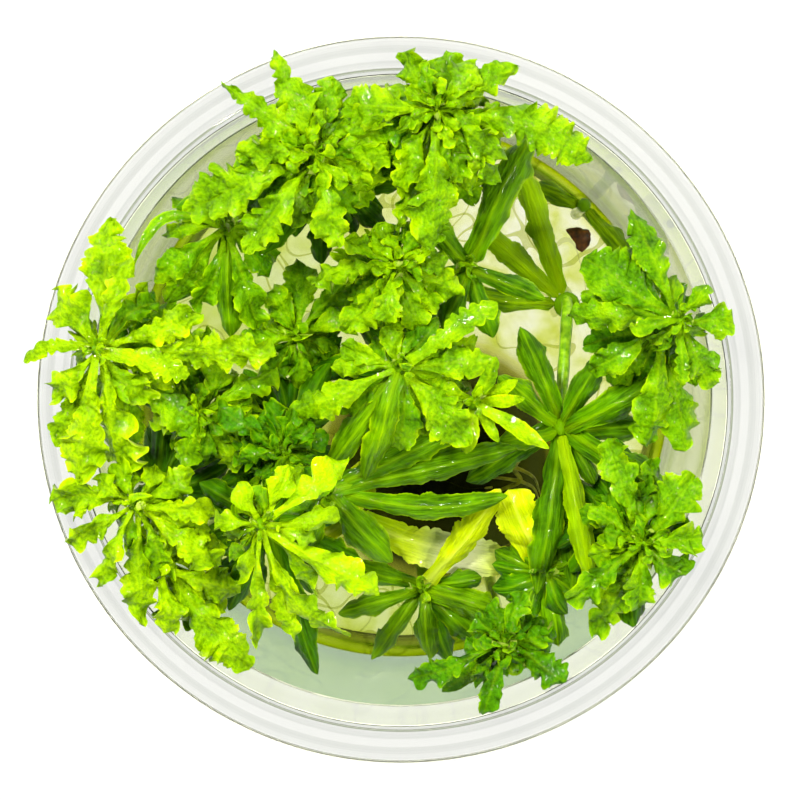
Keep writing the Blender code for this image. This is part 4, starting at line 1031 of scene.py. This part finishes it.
def tuft(row, draw):
    """Young leaves that stand up in the middle of a crown."""
    place, direction = crown_place(row, False)
    for k in range(TUFTED.get(row.name, USUAL_TUFT)):
        reach = TUFT_REACH + TUFT_STEP * k
        azimuth = k * GOLDEN_TURN + draw.uniform(0, 40)
        start = place + direction * (HUB_HALF_HEIGHT - TUFT_INSET) + heading_of(azimuth) * TUFT_INSET
        width = 0.7 + 0.4 * reach
        rise = TUFT_RISE - TUFT_LEAN * k + draw.uniform(-0.8, 0.8)
        sweep = draw.uniform(-0.6, 0.6)
        age = draw.uniform(0.3, 0.9)
        yield Leaf(azimuth, reach, width, sweep, "crinkled", age, rise=rise, arch=TUFT_ARCH), start


print("gaps wider than", WIDE_GAP, "degrees are filled")

# %% [markdown]
# Now the whorls themselves. Each one is a mesh of its own: its knob or collar, its main leaves, the
# fillers and the tuft. The random draws are seeded by the whorl's place in the list, so each run gives
# the same plants. TONES lists crowns whose leaves are a little darker or brighter in the photo than their
# finish in the record.

# %% Whorls of leaves
LOWER_LOOK = {"dark": "strap", "mid": "broad", "bright": "strap"}
TONES = {
    "northwest": "fresh", "north": "fresh", "north_centre": "fresh", "centre": "fresh", "south": "fresh",
    "west_centre": "fresh", "north_inner": "mid", "pale_low": "mid", "summit": "bright",
    "southeast_small": "dark",
}
AGES = {"lime": (0.7, 1), "bright": (0.55, 0.95), "mid": (0.5, 0.9), "dark": (0.35, 0.9), "straw": (0.7, 1)}
FIRST_SEED = 100
# Half the height and the radius of a collar and of a knob. Leaves hide the outermost part of the solid's.
COLLAR = (0.8, STEM_RADIUS + GAP + 0.8 * RING_WALL)
KNOB = (HUB_HALF_HEIGHT, 0.7 * HUB_RADIUS)
CORE_RINGS, CORE_SIDES = 9, 14


def core_rings(row, lower):
    """The knob at a stem's top or the collar of a lower whorl, as rings."""
    place, direction = crown_place(row, lower)
    reach, radius = COLLAR if lower else KNOB
    heights = np.linspace(-1, 1, CORE_RINGS)
    radii = radius * np.sqrt(np.maximum(1 - heights ** 2, 0.02))
    return round_rings([place + direction * reach * h for h in heights], radii, CORE_SIDES)


total = 0
for number, (node, row, lower, leaves) in enumerate(WHORLS):
    draw = np.random.default_rng(FIRST_SEED + number)
    tone = row.lower_tone if lower else row.tone
    usual_tone = tone if lower else TONES.get(row.name, tone)
    usual = LOWER_LOOK[tone] if lower else row.look
    build = Build()
    build.tube(core_rings(row, lower), tone=usual_tone if lower else "bright")
    name = node.removeprefix("leaves_")
    layers = range(LAYERS.get(name, USUAL_LAYERS))
    extra = [pair for layer in layers for pair in fillers(leaves, layer, draw)]
    young = [] if lower else list(tuft(row, draw))
    for shape, base in leaves + extra + young:
        age = draw.uniform(*AGES[tone]) if shape.age is None else shape.age
        rings, masks = blade(shape, base, LOOKS[shape.look or usual], age, draw)
        build.tube(rings, masks, shape.tone or usual_tone)
    whorl = build.finish("whorl_" + name, LEAF_TISSUE, "leaf_" + tone, node)
    total += sum(len(face.vertices) - 2 for face in whorl.data.polygons)
print("triangles in the whorls:", total)

# %% [markdown]
# A stalk is round, thins a little towards its crown and swells where leaves once grew. It is drawn as
# rings along a smooth curve through the row's points.

# %% Stems
STEM_SIDES = 14
STEM_STEPS = 14
STEM_THINS = 0.15
NODE_SPACING = 6.5
NODE_SWELLS = 0.16
NODE_HALF_LENGTH = 0.7
FIRST_NODE = 2


def stem_piece(row):
    """A stalk, with a swelling at each node, counted down from the crown."""
    path = smooth_path(row.stem, STEM_STEPS)
    down = np.linalg.norm(path - path[-1], axis=1)
    from_node = (down + FIRST_NODE) % NODE_SPACING - NODE_SPACING / 2
    swelling = 1 + NODE_SWELLS * np.exp(-(from_node / NODE_HALF_LENGTH) ** 2)
    radii = STEM_RADIUS * (1 - STEM_THINS * np.linspace(0, 1, len(path))) * swelling
    build = Build()
    build.tube(round_rings(path, radii, STEM_SIDES))
    return build.finish("stalk_" + row.name, {None: STALK_SKIN}, "stem", "stem_" + row.name, masks=False)


stems = [stem_piece(row) for row in PLANTS]
print("stems:", len(stems))

# %% [markdown]
# One plant has sent roots down through the air: a main thread with branches and a few hairs, seen in a
# dark gap between the leaves. The scrap is a small withered leaf that fell on the jelly. It is cut by the
# same rule as the living ones, and only its tissue differs.

# %% Roots and the withered scrap
ROOT_POINTS = (
    (20.6, -4.6, 35.0), (18.4, -7.4, 30.0), (16.4, -10.6, 26.0), (17.4, -13.0, 21.0), (15.0, -14.6, 16.0))
BRANCHES = (
    # the root's point that it starts from, and its own points
    (1, (15.4, -7.4, 29.0), (12.8, -8.6, 27.4)),
    (2, (13.8, -9.4, 25.6), (11.2, -11.6, 22.0)),
    (2, (19.2, -12.2, 25.2), (20.4, -15.2, 21.0)),
    (3, (13.8, -12.6, 20.0), (10.6, -13.0, 16.4)),
    (3, (19.6, -14.4, 18.6), (20.6, -17.4, 16.0)),
)
HAIRS = 2
# Each thread thins from the first radius to the second.
ROOT_RADII, BRANCH_RADII, HAIR_RADII = (0.45, 0.28), (0.3, 0.1), (0.18, 0.07)
ROOT_STEPS = 10
SCRAP = Leaf(100, 4.0, 3.4, rise=-0.2, arch=0.6)
SCRAP_AT = (26.6, 20.4, 16.2)
SCRAP_AGE = 0.2


def thread(points, radii, sides):
    """Rings of a root through the points."""
    path = smooth_path(points, ROOT_STEPS)
    return round_rings(path, np.linspace(*radii, len(path)), sides)


build = Build()
build.tube(thread(ROOT_POINTS, ROOT_RADII, 10))
for start, *rest in BRANCHES:
    build.tube(thread((ROOT_POINTS[start], *rest), BRANCH_RADII, 8))
draw = np.random.default_rng(3)
for _ in range(HAIRS):
    start = np.array(ROOT_POINTS[draw.integers(2, 5)]) + draw.normal(0, 0.6, 3)
    bend = start + draw.uniform((-4, -3, -4), (3, 3, -1))
    end = bend + draw.uniform((-5, -4, -3), (3, 3, 0))
    build.tube(thread((start, bend, end), HAIR_RADII, 6))
build.finish("root_threads", {None: ROOT_SKIN}, "root", "root", masks=False)

build = Build()
draw = np.random.default_rng(5)
build.tube(*blade(SCRAP, np.array(SCRAP_AT), LOOKS["cut"], SCRAP_AGE, draw))
build.finish("withered_leaf", {None: WITHERED}, "withered_scrap", "withered_scrap", masks=False)
print("roots:", 1 + len(BRANCHES))

# %% [markdown]
# The cup is turned: one outline of radius and height, swept round the axis, with each corner rounded as a
# mould leaves it. The solid in the frame has the same outline with few sides, so this mesh makes it round
# and adds thin ledges where the wall meets the collar. Each face then gets the plastic of its zone.

# %% Cup
CUP_HEIGHT, FLANGE_RADIUS, FLANGE_TOP, FLANGE_EDGE_DROP, SHEET = 50.0, 50.0, 49.0, 1.6, 0.2
LIP_RADIUS, LIP_WIDTH, COLLAR_BOTTOM, COLLAR_RADIUS, LEDGE = 44.6, 0.9, 36.0, 43.9, 0.5
WALL, CUP_FLOOR, FLOOR_RADIUS, CORNER = 0.95, 1.2, 37.7, 1.4
SLOPE = (COLLAR_RADIUS - LEDGE - FLOOR_RADIUS) / (COLLAR_BOTTOM - CUP_FLOOR)
CUP_SIDES = 192
FILLET, FILLET_STEPS = 0.08, 4
STEP = 0.12
SEAM = 0.11
RIM_DEPTH, COLLAR_OVERLAP, NEAR = 2, 1.5, 0.1


def rounded(outline, size):
    """The outline with each inner corner replaced by a short curve."""
    outline = np.array(outline, float)
    found = [outline[0]]
    for before, corner, after in zip(outline, outline[1:], outline[2:]):
        reach_in = min(size, np.linalg.norm(before - corner) * 0.45)
        reach_out = min(size, np.linalg.norm(after - corner) * 0.45)
        start = corner + unit(before - corner) * reach_in
        end = corner + unit(after - corner) * reach_out
        for share in np.linspace(0, 1, FILLET_STEPS + 1):
            found.append(start * (1 - share) ** 2 + 2 * corner * share * (1 - share) + end * share ** 2)
    return np.array(found + [outline[-1]])


def turned_rings(outline, sides):
    """Rings about Z from an outline of (radius, height)."""
    turn = np.linspace(0, 2 * math.pi, sides, endpoint=False)
    circle = np.stack([np.cos(turn), np.sin(turn), 0 * turn], axis=-1)
    return circle[None] * np.maximum(outline[:, 0], 0.01)[:, None, None] + UP * outline[:, 1][:, None, None]


outside = FLOOR_RADIUS + WALL
under = FLANGE_TOP - SHEET
bead = LIP_RADIUS + LIP_WIDTH
cup_outline = (
    (0, 0), (outside - CORNER, 0), (outside, CORNER),
    (COLLAR_RADIUS - STEP + SHEET, COLLAR_BOTTOM - STEP), (COLLAR_RADIUS + SHEET, COLLAR_BOTTOM),
    (LIP_RADIUS + SHEET, CUP_HEIGHT - SHEET), (bead - SHEET, CUP_HEIGHT - SHEET), (bead - SHEET, under),
    (FLANGE_RADIUS - SHEET, under), (FLANGE_RADIUS - SHEET, FLANGE_TOP - FLANGE_EDGE_DROP),
    (FLANGE_RADIUS, FLANGE_TOP - FLANGE_EDGE_DROP), (FLANGE_RADIUS, FLANGE_TOP),
    (bead, FLANGE_TOP), (bead, CUP_HEIGHT), (LIP_RADIUS, CUP_HEIGHT),
    (COLLAR_RADIUS, COLLAR_BOTTOM), (COLLAR_RADIUS - STEP, COLLAR_BOTTOM - STEP),
    (FLOOR_RADIUS + SLOPE * CORNER, CUP_FLOOR + CORNER), (FLOOR_RADIUS - CORNER, CUP_FLOOR), (0, CUP_FLOOR),
)
build = Build()
build.tube(turned_rings(rounded(cup_outline, FILLET), CUP_SIDES))
cup = build.finish("culture_cup", {None: CLEAR_PLASTIC["wall"]}, "clear_cup", "cup", masks=False, sharp=8)
zones = list(CLEAR_PLASTIC)
for zone in zones[1:]:
    cup.data.materials.append(CLEAR_PLASTIC[zone])
for face in cup.data.polygons:
    height, radius = face.center.z / MM, math.hypot(face.center.x, face.center.y) / MM
    at_lip = radius < LIP_RADIUS + SEAM and height > CUP_HEIGHT - SEAM
    at_collar = abs(height - COLLAR_BOTTOM + STEP / 2) < SEAM
    if at_lip or at_collar or radius > FLANGE_RADIUS - SHEET - SEAM:
        zone = "seam"
    elif radius > LIP_RADIUS - NEAR and height > FLANGE_TOP - RIM_DEPTH:
        zone = "rim"
    elif height > COLLAR_BOTTOM - COLLAR_OVERLAP:
        zone = "collar"
    elif height < CUP_FLOOR + CORNER + NEAR:
        zone = "base"
    else:
        zone = "wall"
    face.material_index = zones.index(zone)
print("the cup is", CUP_SIDES, "sides round")

# %% [markdown]
# The jelly was poured in warm and set there, so it has the cup's taper and a nearly flat top. Its top is
# a row of rings that shrink to the middle, which leaves room for the faint hills of a surface that dried
# a little.

# %% Jelly
GEL_TOP, GEL_GAP = 15.0, 0.4
GEL_RINGS = 40
HILL_HEIGHT, HILL_LENGTH, HILL_WIDTH, HILL_SHIFT = 0.12, 7, 5, 20

low = CUP_FLOOR + GAP
gel_radius = FLOOR_RADIUS - GEL_GAP
gel_top_radius = gel_radius + SLOPE * (GEL_TOP - CUP_FLOOR)
gel_outline = [
    (0, low), (gel_radius - CORNER, low), (gel_radius + SLOPE * (CORNER + GAP), low + CORNER),
    (gel_top_radius, GEL_TOP),
] + [(gel_top_radius * (1 - k / GEL_RINGS), GEL_TOP) for k in range(1, GEL_RINGS + 1)]
rings = turned_rings(np.array(gel_outline), CUP_SIDES)
top = rings[-GEL_RINGS:]
along, across = top[..., 0] / HILL_LENGTH + HILL_SHIFT, top[..., 1] / HILL_WIDTH + HILL_SHIFT
top[..., 2] += HILL_HEIGHT * patches(along, across)
build = Build()
build.tube(rings)
build.finish("agar_gel", {None: JELLY}, "nutrient_gel", "gel", masks=False)
print("the jelly's top is", round(2 * gel_top_radius, 1), "mm across")
